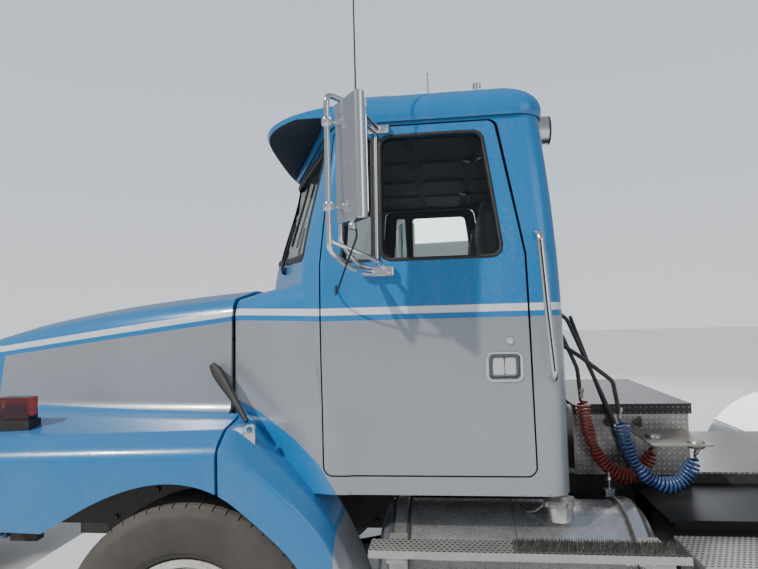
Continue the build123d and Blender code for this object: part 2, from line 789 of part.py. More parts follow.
def hood_section(row, inset):
    """The hood and its fenders cut across the tractor, drawn in by inset, open below for an inset form."""
    x, side_y, shoulder_y, shoulder_z, top_z, crown_y, crown_z, out_y, low_z = row
    nose_start, nose_end = hood_rows[nose_row][0], hood_rows[-1][0]
    x -= inset * max(0, x - nose_start) / (nose_end - nose_start)
    half = [
        (0.5 * shoulder_y, top_z - 8 - inset),
        (shoulder_y + 10 - inset, shoulder_z + 40 - inset),
        (side_y - inset, seam_z - inset),
        (crown_y - 0.5 * inset, crown_z - inset),
        (out_y - inset, crown_z - 60 - 0.5 * inset),
        (out_y - inset, low_z - (30 if inset else 0)),
    ]
    radii = [300, shoulder_radius - 0.5 * inset, foot_radius + inset, crown_radius, crown_radius, 0]
    return rounded_outline(Plane.YZ.offset(x), both_flanks(half), mirrored_radii(radii))


def hood_form(inset):
    """The closed form of hood and fenders, drawn in by inset."""
    with BuildPart(mode=Mode.PRIVATE) as form:
        loft(sections=[hood_section(row, inset) for row in hood_rows[:nose_row + 1]])
        loft(sections=[hood_section(row, inset) for row in hood_rows[nose_row:]])
    return form.part


def arch_cut(edge, foot):
    """What the wheel arch takes out below its edge, right across the tractor."""
    with BuildPart(mode=Mode.PRIVATE) as cut:
        with BuildSketch(across(1300)):
            with BuildLine():
                Spline(*edge)
                Polyline(edge[-1], (edge[-1][0], foot), (edge[0][0], foot), edge[0])
            make_face()
        extrude(amount=2600)
    return cut.part


grille_half_y = 430
grille_low = 790
grille_high = 1450
lamp_in_y = 640
lamp_out_y = 980
lamp_low = 930
lamp_high = 1070
# the hood ends in a gap ahead of the cowl, and its fenders run back beside the cowl
cowl_edge = [(cowl_front_x + hood_gap, cowl_half_y), (cowl_nose_x + hood_gap, 0)]
fender_in_y = 930
rear_cuts = (
    ([(1250, 0), (1250, 1300), (cowl_front_x + hood_gap, 1300)] + cowl_edge, seam_z + 3),
    ([(1250, 0), (1250, fender_in_y), (cowl_front_x + hood_gap, fender_in_y)] + cowl_edge, 600),
    ([(1250, 0), (1250, 1300), (fender_rear_x, 1300), (fender_rear_x, 0)], 600),
)
with BuildPart() as hood_shell:
    add(hood_form(0))
    add(hood_form(hood_wall), mode=Mode.SUBTRACT)
    for plan, cut_low in rear_cuts:
        with BuildSketch(Plane.XY.offset(cut_low)):
            Polygon(*both_sides(plan), align=None)
        extrude(amount=1500, mode=Mode.SUBTRACT)
    add(arch_cut(hood_arch + [(1820, 1036)], 600), mode=Mode.SUBTRACT)
    with BuildSketch(Plane.YZ.offset(3200)):
        with Locations((0, (grille_low + grille_high) / 2)):
            RectangleRounded(2 * grille_half_y, grille_high - grille_low, 40)
        for side in (1, -1):
            with Locations((side * (lamp_in_y + lamp_out_y) / 2, (lamp_low + lamp_high) / 2)):
                RectangleRounded(lamp_out_y - lamp_in_y, lamp_high - lamp_low, 16)
    extrude(amount=200, mode=Mode.SUBTRACT)
    # hinge straps down to the pivot beside each rail
    for side in (1, -1):
        low_y, high_y = sorted((side * 480, side * 510))
        add(side_prism([
            (3305, 740), (3305, 880), (3270, 880), (3225, 660), (3225, 615), (3275, 615)], low_y, high_y))
        with BuildSketch(across(high_y)):
            with Locations((hood_hinge_x, hood_hinge_z)):
                Circle(hinge_pin_radius + pin_clearance)
        extrude(amount=high_y - low_y, mode=Mode.SUBTRACT)
write(hood_shell, "hood_shell")

with BuildPart() as grille:
    with BuildSketch(Plane.YZ.offset(3290)):
        with Locations((0, (grille_low + grille_high) / 2)):
            RectangleRounded(2 * grille_half_y, grille_high - grille_low, 40)
            RectangleRounded(2 * grille_half_y - 56, grille_high - grille_low - 56, 20, mode=Mode.SUBTRACT)
            with GridLocations(0, 62, 1, 10):
                Rectangle(2 * grille_half_y - 40, 16)
            Rectangle(16, grille_high - grille_low - 40)
    extrude(amount=42)
write(grille, "grille")

marker_x = 2755
with BuildPart() as hood_lamps:
    for side in (1, -1):
        with BuildSketch(Plane.XY.offset(1225)):
            with Locations((marker_x, side * 1010)):
                Rectangle(150, 70)
        extrude(amount=70)
        with BuildSketch(Plane.XY.offset(1295)):
            with Locations((marker_x, side * 1010)):
                RectangleRounded(140, 62, 10)
        extrude(amount=90)
    add(hood_form(0), mode=Mode.SUBTRACT)
    for side in (1, -1):
        with BuildSketch(Plane.YZ.offset(3240)):
            with Locations((side * (lamp_in_y + lamp_out_y) / 2, (lamp_low + lamp_high) / 2)):
                RectangleRounded(lamp_out_y - lamp_in_y, lamp_high - lamp_low, 16)
        extrude(amount=90)
write(hood_lamps, "hood_lamps")

# Fixed rear part of each front fender, below the cab: a shell swept down behind the wheel
# columns: x, inner top z, crown y, crown z, outer y
skirt_rows = (
    (1838, 1295, 1086, 1266, 1178),
    (1760, 1250, 1086, 1232, 1176),
    (1650, 1150, 1088, 1142, 1172),
    (1540, 1050, 1088, 1042, 1166),
    (1440, 920, 1084, 912, 1156),
    (1366, 770, 1076, 762, 1144),
    (1324, 640, 1070, 632, 1130),
)
skirt_in_y = 872
skirt_foot_z = 560
skirt_loft_foot_z = 420
skirt_wall = 26


def skirt_form(side, inset):
    """One fixed fender's closed form, drawn in by inset at its top, its back and its outer side."""
    sections = []
    for x, inner_z, crown_y, crown_z, out_y in skirt_rows:
        top_drop = 1.3 * inset
        outline = [
            (side * skirt_in_y, skirt_loft_foot_z - inset),
            (side * skirt_in_y, inner_z - top_drop),
            (side * (crown_y - 0.5 * inset), crown_z - top_drop),
            (side * (out_y - inset), crown_z - 60 - top_drop),
            (side * (out_y - inset), skirt_loft_foot_z - inset),
        ]
        place = x + inset if x == skirt_rows[0][0] else x
        sections.append(rounded_outline(Plane.YZ.offset(place), outline, [0, 0, 40, 40, 0]))
    with BuildPart(mode=Mode.PRIVATE) as form:
        loft(sections=sections)
    return form.part


with BuildPart() as cab_skirts:
    for side in (1, -1):
        add(skirt_form(side, 0))
    for side in (1, -1):
        add(skirt_form(side, skirt_wall), mode=Mode.SUBTRACT)
    add(arch_cut([(1900, 1070)] + fixed_arch, 300), mode=Mode.SUBTRACT)
    with BuildSketch(Plane.XY.offset(skirt_foot_z)):
        Rectangle(2 * fender_rear_x, 2600)
    extrude(amount=-200, mode=Mode.SUBTRACT)
    add(cab_outer, mode=Mode.SUBTRACT)
write(cab_skirts, "cab_skirts")

# Rubber latch on each side of the hood: a wide flat eye on the hood's side, narrowing to a neck
# that hangs just clear of its ring on the fixed fender
latch_stations = (
    # x, y, z, width, thickness
    (1962, 922, 1494, 26, 16),
    (1940, 932, 1470, 44, 24),
    (1880, 968, 1404, 40, 26),
    (1815, 1016, 1334, 26, 22),
    (1772, 1052, 1288, 16, 16),
)
with BuildPart() as hood_latches:
    for side in (1, -1):
        first, last = latch_stations[0], latch_stations[-1]
        along = (Vector(last[0] - first[0], side * (last[1] - first[1]), last[2] - first[2])).normalized()
        cuts = []
        for x, y, z, width, thick in latch_stations:
            with BuildSketch(Plane(origin=(x, side * y, z), x_dir=along.cross(Vector(0, side, 0)), z_dir=along),
                             mode=Mode.PRIVATE) as cut:
                RectangleRounded(width, thick, 0.45 * thick)
            cuts.append(cut.sketch)
        loft(sections=cuts)
        with BuildSketch(Plane(origin=(1945, side * 890, 1476), z_dir=(0, side, 0))):
            Circle(9)
        extrude(amount=48)
    add(hood_shell.part, mode=Mode.SUBTRACT)
write(hood_latches, "hood_latches")

# The ring that the latch hooks into, on the fixed fender's crown
with BuildPart() as latch_rings:
    for side in (1, -1):
        with BuildSketch(Plane.XY.offset(1190)):
            with Locations((1752, side * 1070)):
                RectangleRounded(46, 30, 6)
        extrude(amount=60)
        with BuildSketch(across(side * 1070 + 8)):
            with Locations((1752, 1262)):
                Circle(20)
                Circle(12, mode=Mode.SUBTRACT)
        extrude(amount=16)
    add(cab_skirts.part, mode=Mode.SUBTRACT)
    for side in (1, -1):
        add(skirt_form(side, skirt_wall), mode=Mode.SUBTRACT)
write(latch_rings, "latch_rings")

# Fuel tanks with domed ends and filler caps
tank_profile = [
    (0, 0), (0, tank_radius * 0.7), (22, tank_radius * 0.93), (50, tank_radius),
    (tank_front_x - tank_rear_x - 50, tank_radius), (tank_front_x - tank_rear_x - 22, tank_radius * 0.93),
    (tank_front_x - tank_rear_x, tank_radius * 0.7), (tank_front_x - tank_rear_x, 0),
]
cap_x = front_axle_x - 1375
with BuildPart() as fuel_tanks:
    for side in (1, -1):
        tank_end = (tank_rear_x, side * tank_y, tank_z)
        with BuildSketch(Plane(origin=tank_end, x_dir=(1, 0, 0), z_dir=(0, -1, 0))):
            Polygon(*tank_profile, align=None)
        revolve(axis=Axis((0, side * tank_y, tank_z), (1, 0, 0)))
        with BuildSketch(Plane.XY.offset(tank_z + tank_radius - 30)):
            with Locations((cap_x, side * (tank_y + 90))):
                Circle(52)
        extrude(amount=52)
write(fuel_tanks, "fuel_tanks")

strap_xs = (1200, 335)
step_in_y = 1128
step_out_y = 1230
low_step_z = 450
tread_thick = 5
tread_lip = 26
bracket_y = step_in_y - 34
with BuildPart() as tank_mounts:
    for side in (1, -1):
        for x in strap_xs:
            with BuildSketch(Plane.YZ.offset(x - 32)):
                with Locations((side * tank_y, tank_z)):
                    Circle(tank_radius + 8)
                with Locations((side * (rail_out_y + tank_y) / 2, tank_z + 120)):
                    Rectangle(tank_y - rail_out_y, 150)
                with Locations((side * bracket_y, (step_top_z + low_step_z) / 2 - 25)):
                    Rectangle(68, step_top_z - low_step_z + 40)
                for z in (step_top_z, low_step_z):
                    with Locations((side * (bracket_y + step_out_y - 8) / 2, z - tread_thick - 20)):
                        Rectangle(step_out_y - 8 - bracket_y, 40)
                with Locations((side * tank_y, tank_z)):
                    Circle(tank_radius, mode=Mode.SUBTRACT)
            extrude(amount=64)
    add(fuel_tanks.part, mode=Mode.SUBTRACT)
write(tank_mounts, "tank_mounts")

# Two treads on each tank, on the straps' brackets, each a tray with turned-down edges
with BuildPart() as tank_steps:
    for side in (1, -1):
        for z in (step_top_z, low_step_z):
            with BuildSketch(Plane.YZ.offset(tank_rear_x)):
                low_y, high_y = side * step_in_y, side * step_out_y
                lip_low, lip_high = side * (step_in_y + tread_thick), side * (step_out_y - tread_thick)
                Polygon((low_y, z), (high_y, z), (high_y, z - tread_lip), (lip_high, z - tread_lip),
                        (lip_high, z - tread_thick), (lip_low, z - tread_thick), (lip_low, z - tread_lip),
                        (low_y, z - tread_lip), align=None)
            extrude(amount=tank_front_x - tank_rear_x)
    add(tank_mounts.part, mode=Mode.SUBTRACT)
    add(fuel_tanks.part, mode=Mode.SUBTRACT)
write(tank_steps, "tank_steps")

# Battery box with two treads, behind the left tank
battery_profile = [
    (rail_out_y, 440), (rail_out_y, 880), (900, 880), (900, 836), (1170, 836), (1170, 440),
]
with BuildPart() as battery_box:
    with BuildSketch(Plane.YZ.offset(-465)):
        Polygon(*battery_profile, align=None)
    extrude(amount=650)
    for y_low, y_high, z in ((rail_out_y + 8, 905, 880), (890, 1200, 836)):
        with BuildSketch(Plane.XY.offset(z)):
            with Locations((-140, (y_low + y_high) / 2)):
                Rectangle(690, y_high - y_low)
        extrude(amount=10)
write(battery_box, "battery_box")

with BuildPart() as air_tanks:
    for side in (1, -1):
        with BuildSketch(Plane.YZ.offset(-520)):
            with Locations((side * 232, 740)):
                Circle(98)
        extrude(amount=1060)
        fillet(air_tanks.edges().filter_by(GeomType.CIRCLE), 30)
    for side in (1, -1):
        with BuildSketch(Plane.XY.offset(820)):
            with Locations((150, side * 232)):
                Rectangle(60, 60)
        extrude(amount=30)
write(air_tanks, "air_tanks")

# Exhaust under the right side
muffler_y = -650
muffler_z = 560
muffler_radius = 130
pipe_radius = 50
with BuildPart() as exhaust:
    with BuildSketch(Plane.YZ.offset(-620)):
        with Locations((muffler_y, muffler_z)):
            Circle(muffler_radius)
    extrude(amount=620)
    add(tube_along([
        (1160, -205, 645), (1040, -390, 600), (200, -390, 600), (80, muffler_y, muffler_z),
        (-10, muffler_y, muffler_z)], pipe_radius, 60))
    add(tube_along([
        (-610, muffler_y, muffler_z), (-690, muffler_y, muffler_z), (-730, -800, 440)], pipe_radius, 40))
    for x in (-100, -520):
        with BuildSketch(Plane.XY.offset(610)):
            with Locations((x, -(rail_out_y + 60))):
                Rectangle(50, 120)
        extrude(amount=120)
    add(engine.part, mode=Mode.SUBTRACT)
write(exhaust, "exhaust")

# Deck and toolbox behind the cab
deck_front_x = -70
deck_rear_x = -780
with BuildPart() as deck_plate:
    with BuildSketch(Plane.XY.offset(rail_top)):
        with Locations(((deck_front_x + deck_rear_x) / 2, 0)):
            Rectangle(deck_front_x - deck_rear_x, 2 * rail_out_y)
    extrude(amount=8)
write(deck_plate, "deck_plate")

box_wall = 6
lid_skirt_y = box_half_y + 6
lid_axis = (box_front_x + 6, 1244)
barrel_radius = 7
barrel_runs = ((-330, -170), (170, 330))


def hinge_barrel(y_low, y_high):
    """A round barrel on the lid's hinge line."""
    with BuildPart(mode=Mode.PRIVATE) as barrel:
        with BuildSketch(across(y_high)):
            with Locations(lid_axis):
                Circle(barrel_radius)
        extrude(amount=y_high - y_low)
    return barrel.part


with BuildPart() as toolbox:
    with BuildSketch(Plane.XY.offset(rail_top)):
        with Locations(((box_front_x + box_rear_x) / 2, 0)):
            Rectangle(box_front_x - box_rear_x, 2 * box_half_y)
    extrude(amount=box_top_z - rail_top)
    with BuildSketch(Plane.XY.offset(rail_top + box_wall)):
        with Locations(((box_front_x + box_rear_x) / 2, 0)):
            Rectangle(box_front_x - box_rear_x - 2 * box_wall, 2 * (box_half_y - box_wall))
    extrude(amount=box_top_z - rail_top, mode=Mode.SUBTRACT)
    for y_low, y_high in barrel_runs:
        middle = (y_low + y_high) / 2
        add(hinge_barrel(middle - 30, middle + 30))
        bracket = [
            (box_front_x, 1160), (box_front_x, 1236), (lid_axis[0] - 4, 1244), (lid_axis[0] + 3, 1240),
            (lid_axis[0], 1160),
        ]
        add(side_prism(bracket, middle - 30, middle + 30))
write(toolbox, "toolbox")

with BuildPart() as toolbox_lid:
    with BuildSketch(Plane.XY.offset(box_top_z - 34)):
        with Locations(((box_front_x + box_rear_x - 12) / 2, 0)):
            Rectangle(box_front_x - box_rear_x + 12, 2 * (lid_skirt_y + 4))
    extrude(amount=46)
    with BuildSketch(Plane.XY.offset(box_top_z - 34)):
        with Locations(((box_front_x + box_rear_x - 4) / 2 + 10, 0)):
            Rectangle(box_front_x - box_rear_x + 26, 2 * lid_skirt_y)
    extrude(amount=40, mode=Mode.SUBTRACT)
    for y_low, y_high in barrel_runs:
        middle = (y_low + y_high) / 2
        for run_low, run_high in ((y_low, middle - 31), (middle + 31, y_high)):
            add(hinge_barrel(run_low, run_high))
        # room for the box's own barrel
        add(side_prism([(box_front_x - 4, 1190), (box_front_x - 4, 1260), (box_front_x + 20, 1260),
                        (box_front_x + 20, 1190)], middle - 31, middle + 31), mode=Mode.SUBTRACT)
write(toolbox_lid, "toolbox_lid")

# Coupling: base on the rails, and the tilting plate with its open throat
with BuildPart() as coupling_base:
    with BuildSketch(Plane.XY.offset(rail_top)):
        with Locations((coupling_x, 0)):
            Rectangle(760, 2 * rail_out_y)
            with Locations((0, 0)):
                Rectangle(560, 440, mode=Mode.SUBTRACT)
    extrude(amount=14)
    for side in (1, -1):
        low_y, high_y = sorted((side * 380, side * 410))
        add(side_prism([
            (coupling_x - 240, rail_top + 10), (coupling_x - 70, coupling_pivot_z + 40),
            (coupling_x + 70, coupling_pivot_z + 40), (coupling_x + 240, rail_top + 10)], low_y, high_y))
        low_y, high_y = sorted((side * 328, side * 400))
        with BuildSketch(across(high_y)):
            with Locations((coupling_x, coupling_pivot_z)):
                Circle(25)
        extrude(amount=high_y - low_y)
write(coupling_base, "coupling_base")

coupling_plan = [
    (460, 0), (460, 150), (360, 330), (180, 440), (-200, 440), (-330, 400), (-470, 300), (-470, 190),
    (-90, kingpin_hole_radius), (0, kingpin_hole_radius), (0, 0),
]
with BuildPart() as coupling_plate:
    with BuildSketch(Plane.XY.offset(coupling_top_z - 40)):
        with Locations((coupling_x, 0)):
            Polygon(*both_sides(coupling_plan), align=None)
        with Locations((coupling_x, 0)):
            Circle(kingpin_hole_radius, mode=Mode.SUBTRACT)
    extrude(amount=40)
    for side in (1, -1):
        low_y, high_y = sorted((side * 332, side * 372))
        add(side_prism([
            (coupling_x - 60, coupling_pivot_z - 30), (coupling_x - 100, coupling_top_z - 38),
            (coupling_x + 100, coupling_top_z - 38), (coupling_x + 60, coupling_pivot_z - 30)], low_y, high_y))
        with BuildSketch(across(high_y)):
            with Locations((coupling_x, coupling_pivot_z)):
                Circle(25 + pin_clearance)
        extrude(amount=high_y - low_y, mode=Mode.SUBTRACT)
write(coupling_plate, "coupling_plate")

# Round fenders over the drive wheels
fender_radius = 560
fender_sheet = 6
with BuildPart() as rear_fenders:
    for side in (1, -1):
        for x in drive_axle_x:
            low_y, high_y = sorted((side * 606, side * 1225))
            with BuildSketch(across(high_y)):
                with Locations((x, axle_z)):
                    Circle(fender_radius + fender_sheet)
                    Circle(fender_radius, mode=Mode.SUBTRACT)
                    with Locations((0, -fender_radius + 250)):
                        Rectangle(2 * fender_radius + 40, 2 * fender_radius, mode=Mode.SUBTRACT)
            extrude(amount=high_y - low_y)
            for end in (-1, 1):
                bar_x = x + end * (fender_radius + fender_sheet + 14) * cos(radians(38))
                bar_z = axle_z + (fender_radius + fender_sheet + 14) * sin(radians(38))
                low_bar, high_bar = sorted((side * rail_out_y, side * 1180))
                with BuildSketch(across(high_bar)):
                    with Locations((bar_x, bar_z)):
                        Circle(16)
                extrude(amount=high_bar - low_bar)
write(rear_fenders, "rear_fenders")

flap_x = -3262
with BuildPart() as mudflaps:
    for side in (1, -1):
        with BuildSketch(Plane.YZ.offset(flap_x)):
            with Locations((side * 915, 560)):
                Rectangle(600, 640)
        extrude(amount=12)
        with BuildSketch(Plane.YZ.offset(flap_x - 10)):
            with Locations((side * (rail_out_y + 1215) / 2, 895)):
                Rectangle(1215 - rail_out_y, 30)
        extrude(amount=32)
write(mudflaps, "mudflaps")

with BuildPart() as tail_lamps:
    with BuildSketch(Plane.YZ.offset(tail_x + 15)):
        with Locations((0, 790)):
            Rectangle(1240, 120)
    extrude(amount=45)
    with BuildSketch(Plane.YZ.offset(tail_x)):
        for side in (1, -1):
            with Locations((side * 540, 790), (side * 415, 790)):
                Circle(50)
    extrude(amount=20)
write(tail_lamps, "tail_lamps")

# Mirrors on their tube arms; the left one carries the long whip aerial
arm_radius = 10
mirror_arm = [
    (1240, 1000, 2400), (1300, 1180, 2412), (1385, 1290, 2405), (1385, 1300, 1900), (1330, 1200, 1846),
    (1262, 1062, 1842),
]
aerial_top_z = 3550
head_x = 1300
head_y = 1330
head_low = 1990
head_turn = radians(55)
head_long = 178
head_thick = 46
head_tall = 414
for side, word in ((1, "left"), (-1, "right")):
    with BuildPart() as mirror_unit:
        add(tube_along(swap_side(mirror_arm, side), arm_radius, 40))
        head_way = (cos(head_turn), side * sin(head_turn), 0)
        with BuildSketch(Plane(origin=(head_x, side * head_y, head_low), x_dir=head_way, z_dir=(0, 0, 1))):
            RectangleRounded(head_long, head_thick, 14)
        extrude(amount=head_tall)
        for z in (head_low + 60, head_low + 350):
            add(tube_along(swap_side([(1385, 1294, z), (head_x, head_y, z)], side), 8, 0))
        with BuildSketch(Plane.XY.offset(1820)):
            with Locations((1255, side * 1066)):
                Rectangle(120, 20)
        extrude(amount=44)
        with BuildSketch(Plane.XY.offset(2384)):
            with Locations((1240, side * 996)):
                Rectangle(80, 24)
        extrude(amount=30)
        if side > 0:
            with BuildSketch(Plane.XY.offset(2408)):
                with Locations((1300, 1180)):
                    Circle(14)
            extrude(amount=60)
            with BuildSketch(Plane.XY.offset(2440)):
                with Locations((1300, 1180)):
                    Circle(3)
            extrude(amount=aerial_top_z - 2440)
        add(cab_outer, mode=Mode.SUBTRACT)
    write(mirror_unit, f"mirror_{word}")

# Small fittings
grab_points = [(668, 1040, 1960), (668, 1118, 1962), (634, 1118, 1440), (634, 1040, 1438)]
with BuildPart() as grab_handles:
    for side in (1, -1):
        add(tube_along(swap_side(grab_points, side), 13, 36))
    add(cab_outer, mode=Mode.SUBTRACT)
write(grab_handles, "grab_handles")

with BuildPart() as roof_fittings:
    for x, y, radius, height in ((1050, 760, 4, 120), (840, 700, 18, 80), (1050, -760, 4, 120)):
        with BuildSketch(Plane.XY.offset(roof_z)):
            with Locations((x, y)):
                Circle(radius)
        extrude(amount=height)
    with BuildSketch(Plane.YZ.offset(560)):
        with Locations((750, 2430), (-750, 2430)):
            Circle(60)
    extrude(amount=60)
    add(cab_outer, mode=Mode.SUBTRACT)
    add(roof_cap.part, mode=Mode.SUBTRACT)
write(roof_fittings, "roof_fittings")

with BuildPart() as hose_post:
    add(tube_along([(205, 480, 940), (325, 480, 1290), (445, 480, 1650)], 8, 600))
    for x, z in ((240, 1045), (290, 1150)):
        with BuildSketch(Plane.XY.offset(z)):
            with Locations((x, 466)):
                Rectangle(30, 32)
        extrude(amount=24)
write(hose_post, "hose_post")

# Air lines: curly cords, each a fat tube of the helix's outer size
coil_radius = 34
red_route = [
    (430, 560, 1300), (415, 566, 1160), (360, 572, 1010), (265, 578, 945), (180, 580, 990), (140, 580, 1090),
]
blue_route = [
    (300, 668, 1230), (285, 672, 1100), (220, 676, 985), (120, 680, 940), (40, 680, 990), (10, 680, 1085),
]
for word, route in (("red", red_route), ("blue", blue_route)):
    bends = []
    for before, at, after in zip(route, route[1:], route[2:]):
        into, out = Vector(*at) - Vector(*before), Vector(*after) - Vector(*at)
        turn = radians(into.get_angle(out))
        bends.append(0.45 * min(into.length, out.length) / (sin(turn / 2) / cos(turn / 2)))
    print(word, "air line bend radii", [round(bend) for bend in bends])
    with BuildPart() as air_line:
        add(tube_along(route, coil_radius, bends))
    write(air_line, f"air_line_{word}")
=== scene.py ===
# %% [markdown]
# # Dressing a day-cab truck tractor
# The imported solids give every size, joint and place. This lesson adds what solids can't: paint, rubber,
# polished metal, road dust, and the small pieces that sit on them. Everything is in metres, with +X forward,
# +Y to the driver's side and +Z up.

# %% Load the frame
import json
import math
from functools import partial
import bmesh
import bpy
import numpy as np
from mathutils import Matrix, Vector
from mathutils.bvhtree import BVHTree


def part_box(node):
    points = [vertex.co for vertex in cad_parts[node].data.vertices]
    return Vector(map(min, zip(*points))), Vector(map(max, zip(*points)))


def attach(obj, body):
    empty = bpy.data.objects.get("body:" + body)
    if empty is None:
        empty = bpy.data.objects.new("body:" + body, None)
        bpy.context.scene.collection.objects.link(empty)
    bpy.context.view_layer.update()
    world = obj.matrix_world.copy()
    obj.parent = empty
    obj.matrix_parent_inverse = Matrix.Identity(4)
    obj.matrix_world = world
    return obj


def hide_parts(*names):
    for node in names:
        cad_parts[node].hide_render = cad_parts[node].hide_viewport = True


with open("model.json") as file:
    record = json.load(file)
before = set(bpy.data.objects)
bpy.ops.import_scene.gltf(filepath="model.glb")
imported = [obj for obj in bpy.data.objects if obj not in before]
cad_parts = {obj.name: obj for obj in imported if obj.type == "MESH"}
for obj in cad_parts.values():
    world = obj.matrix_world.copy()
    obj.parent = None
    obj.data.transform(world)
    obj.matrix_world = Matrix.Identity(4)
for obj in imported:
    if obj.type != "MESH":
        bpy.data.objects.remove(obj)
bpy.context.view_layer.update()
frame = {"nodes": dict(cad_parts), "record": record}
record, solids = frame["record"], frame["nodes"]
body_with = {node: body for body, nodes in record["behaviour"]["bodies"].items() for node in nodes}
X, Y, Z = np.eye(3)
SIDES = (("left", 1), ("right", -1))
FULL_TURN = 2 * np.pi


def shown(name, data):
    """An object with this data, put in the scene."""
    made = bpy.data.objects.new(name, data)
    bpy.context.scene.collection.objects.link(made)
    return made


# %% [markdown]
# The camera stands where the photographer stood, about a metre behind the front axle on the driver's side.
# Its place and turn were solved from points whose position on the truck is known. Writing the three camera
# axes as a matrix avoids any doubt about the order of Euler angles.

# %% Camera
picture_width, focal_pixels, sensor_width = 758, 571.3, 36
eye = np.array([0.998, 3.176, 1.689])
yaw, pitch, roll = np.radians([6.757, 2.814, -1.572])
forward = np.array([math.sin(yaw) * math.cos(pitch), -math.cos(yaw) * math.cos(pitch), math.sin(pitch)])
level_right = np.array([-math.cos(yaw), -math.sin(yaw), 0])
level_up = np.cross(level_right, forward)
right = math.cos(roll) * level_right + math.sin(roll) * level_up
up = -math.sin(roll) * level_right + math.cos(roll) * level_up
lens = bpy.data.cameras.new("camera")
lens.sensor_width = sensor_width
lens.lens = sensor_width * focal_pixels / picture_width
turn = np.eye(4)
turn[:3] = np.column_stack([right, up, -forward, eye])
bpy.context.scene.camera = shown("camera", lens)
bpy.context.scene.camera.matrix_world = Matrix(turn.tolist())
print("lens", round(lens.lens, 2), "mm")

# %% [markdown]
# New pieces are surfaces worked out as whole arrays. A grid of points P[i, j] is a function of two parameters,
# and woven() turns it into quads. Closed rings wrap, and open ends are drawn together to a middle point, so
# every form is watertight.


# %% Surface helpers
def unit(a):
    """Each vector divided by its own length."""
    return a / np.linalg.norm(a, axis=-1, keepdims=True)


def woven(P, wrap_u=False, wrap_v=False):
    """Points and quads of a grid: point (i, j) is joined to (i+1, j), (i+1, j+1) and (i, j+1)."""
    rows, cols = P.shape[:2]
    i = np.arange(rows if wrap_u else rows - 1)[:, None]
    j = np.arange(cols if wrap_v else cols - 1)[None, :]

    def at(a, b):
        return (a % rows) * cols + b % cols

    quads = np.stack([at(i, j), at(i + 1, j), at(i + 1, j + 1), at(i, j + 1)], -1)
    return P.reshape(-1, 3), quads.reshape(-1, 4)


def capped(P):
    """The grid with a row added at each end, where all points meet in the middle of the end row."""
    ends = [np.broadcast_to(row.mean(0), row.shape)[None] for row in (P[0], P[-1])]
    return np.concatenate([ends[0], P, ends[1]])


def placed(P, origin=(0, 0, 0), x=X, y=Y):
    """Local points carried to origin: P = origin + a·x + b·y + c·z, with z square to x and y."""
    x, y = unit(np.array(x, float)), unit(np.array(y, float))
    return np.array(origin, float) + np.asarray(P, float) @ np.stack([x, y, np.cross(x, y)])


def round_about(count):
    """This many angles, spread evenly over a full turn."""
    return np.linspace(0, FULL_TURN, count, endpoint=False)


def turned(profile, steps=32, origin=(0, 0, 0), axis=Z):
    """A profile of (radius, height) spun round an axis: P = (r·cos t, r·sin t, h)."""
    r, h = np.array(profile, float).T
    t = round_about(steps)
    P = np.stack([r[:, None] * np.cos(t), r[:, None] * np.sin(t), np.repeat(h[:, None], steps, 1)], -1)
    z = unit(np.array(axis, float))
    x = unit(np.cross(z, (0.31, 0.87, 0.39)))
    return woven(placed(P, origin, x, np.cross(z, x)), wrap_v=True)


def rounded_loop(corners, radius, steps=5):
    """A closed outline: each corner gives way to an arc whose centre lies on the corner's bisector."""
    C = np.array(corners, float)
    a, b = unit(np.roll(C, 1, 0) - C), unit(np.roll(C, -1, 0) - C)
    half = 0.5 * np.arccos(np.clip((a * b).sum(1), -1, 1))
    reach = (radius / np.tan(half))[:, None]
    centre = C + unit(a + b) * (radius / np.sin(half))[:, None]
    sweep = (np.pi - 2 * half)[:, None, None]
    t = np.linspace(0, 1, steps)[None, :, None]
    start, end = (C + a * reach - centre)[:, None], (C + b * reach - centre)[:, None]
    arc = (np.sin((1 - t) * sweep) * start + np.sin(t * sweep) * end) / np.sin(sweep)
    return (centre[:, None] + arc).reshape(-1, C.shape[1])


def stepped(path, count, closed=False):
    """The same line with count points spread evenly along its length."""
    path = np.array(path, float)
    line = np.concatenate([path, path[:1]]) if closed else path
    along = np.concatenate([[0], np.cumsum(np.linalg.norm(np.diff(line, axis=0), axis=1))])
    at = np.linspace(0, along[-1], count, endpoint=not closed)
    return np.stack([np.interp(at, along, line[:, k]) for k in range(line.shape[1])], -1)


def smooth_line(points, count=60, passes=3):
    """A line through points, eased by averaging neighbours of an even sampling a few times."""
    line = stepped(points, count)
    for _ in range(passes):
        line[1:-1] = 0.25 * line[:-2] + 0.5 * line[1:-1] + 0.25 * line[2:]
    return line


def swept(path, section, up=Z, closed=False):
    """A section carried along a path: P = path + side·a + rise·b, side square to the run and to up."""
    path, section = np.array(path, float), np.array(section, float)
    run = np.roll(path, -1, 0) - np.roll(path, 1, 0) if closed else np.gradient(path, axis=0)
    side = unit(np.cross(run, np.broadcast_to(np.array(up, float), path.shape)))
    rise = unit(np.cross(side, run))
    P = path[:, None] + side[:, None] * section[:, :1] + rise[:, None] * section[:, 1:]
    return woven(P if closed else capped(P), wrap_u=closed, wrap_v=True)


def ring(radius, steps=8, flat=1.0):
    """Points of a round section; flat is its height over its width."""
    t = round_about(steps)
    return np.stack([radius * np.cos(t), flat * radius * np.sin(t)], -1)


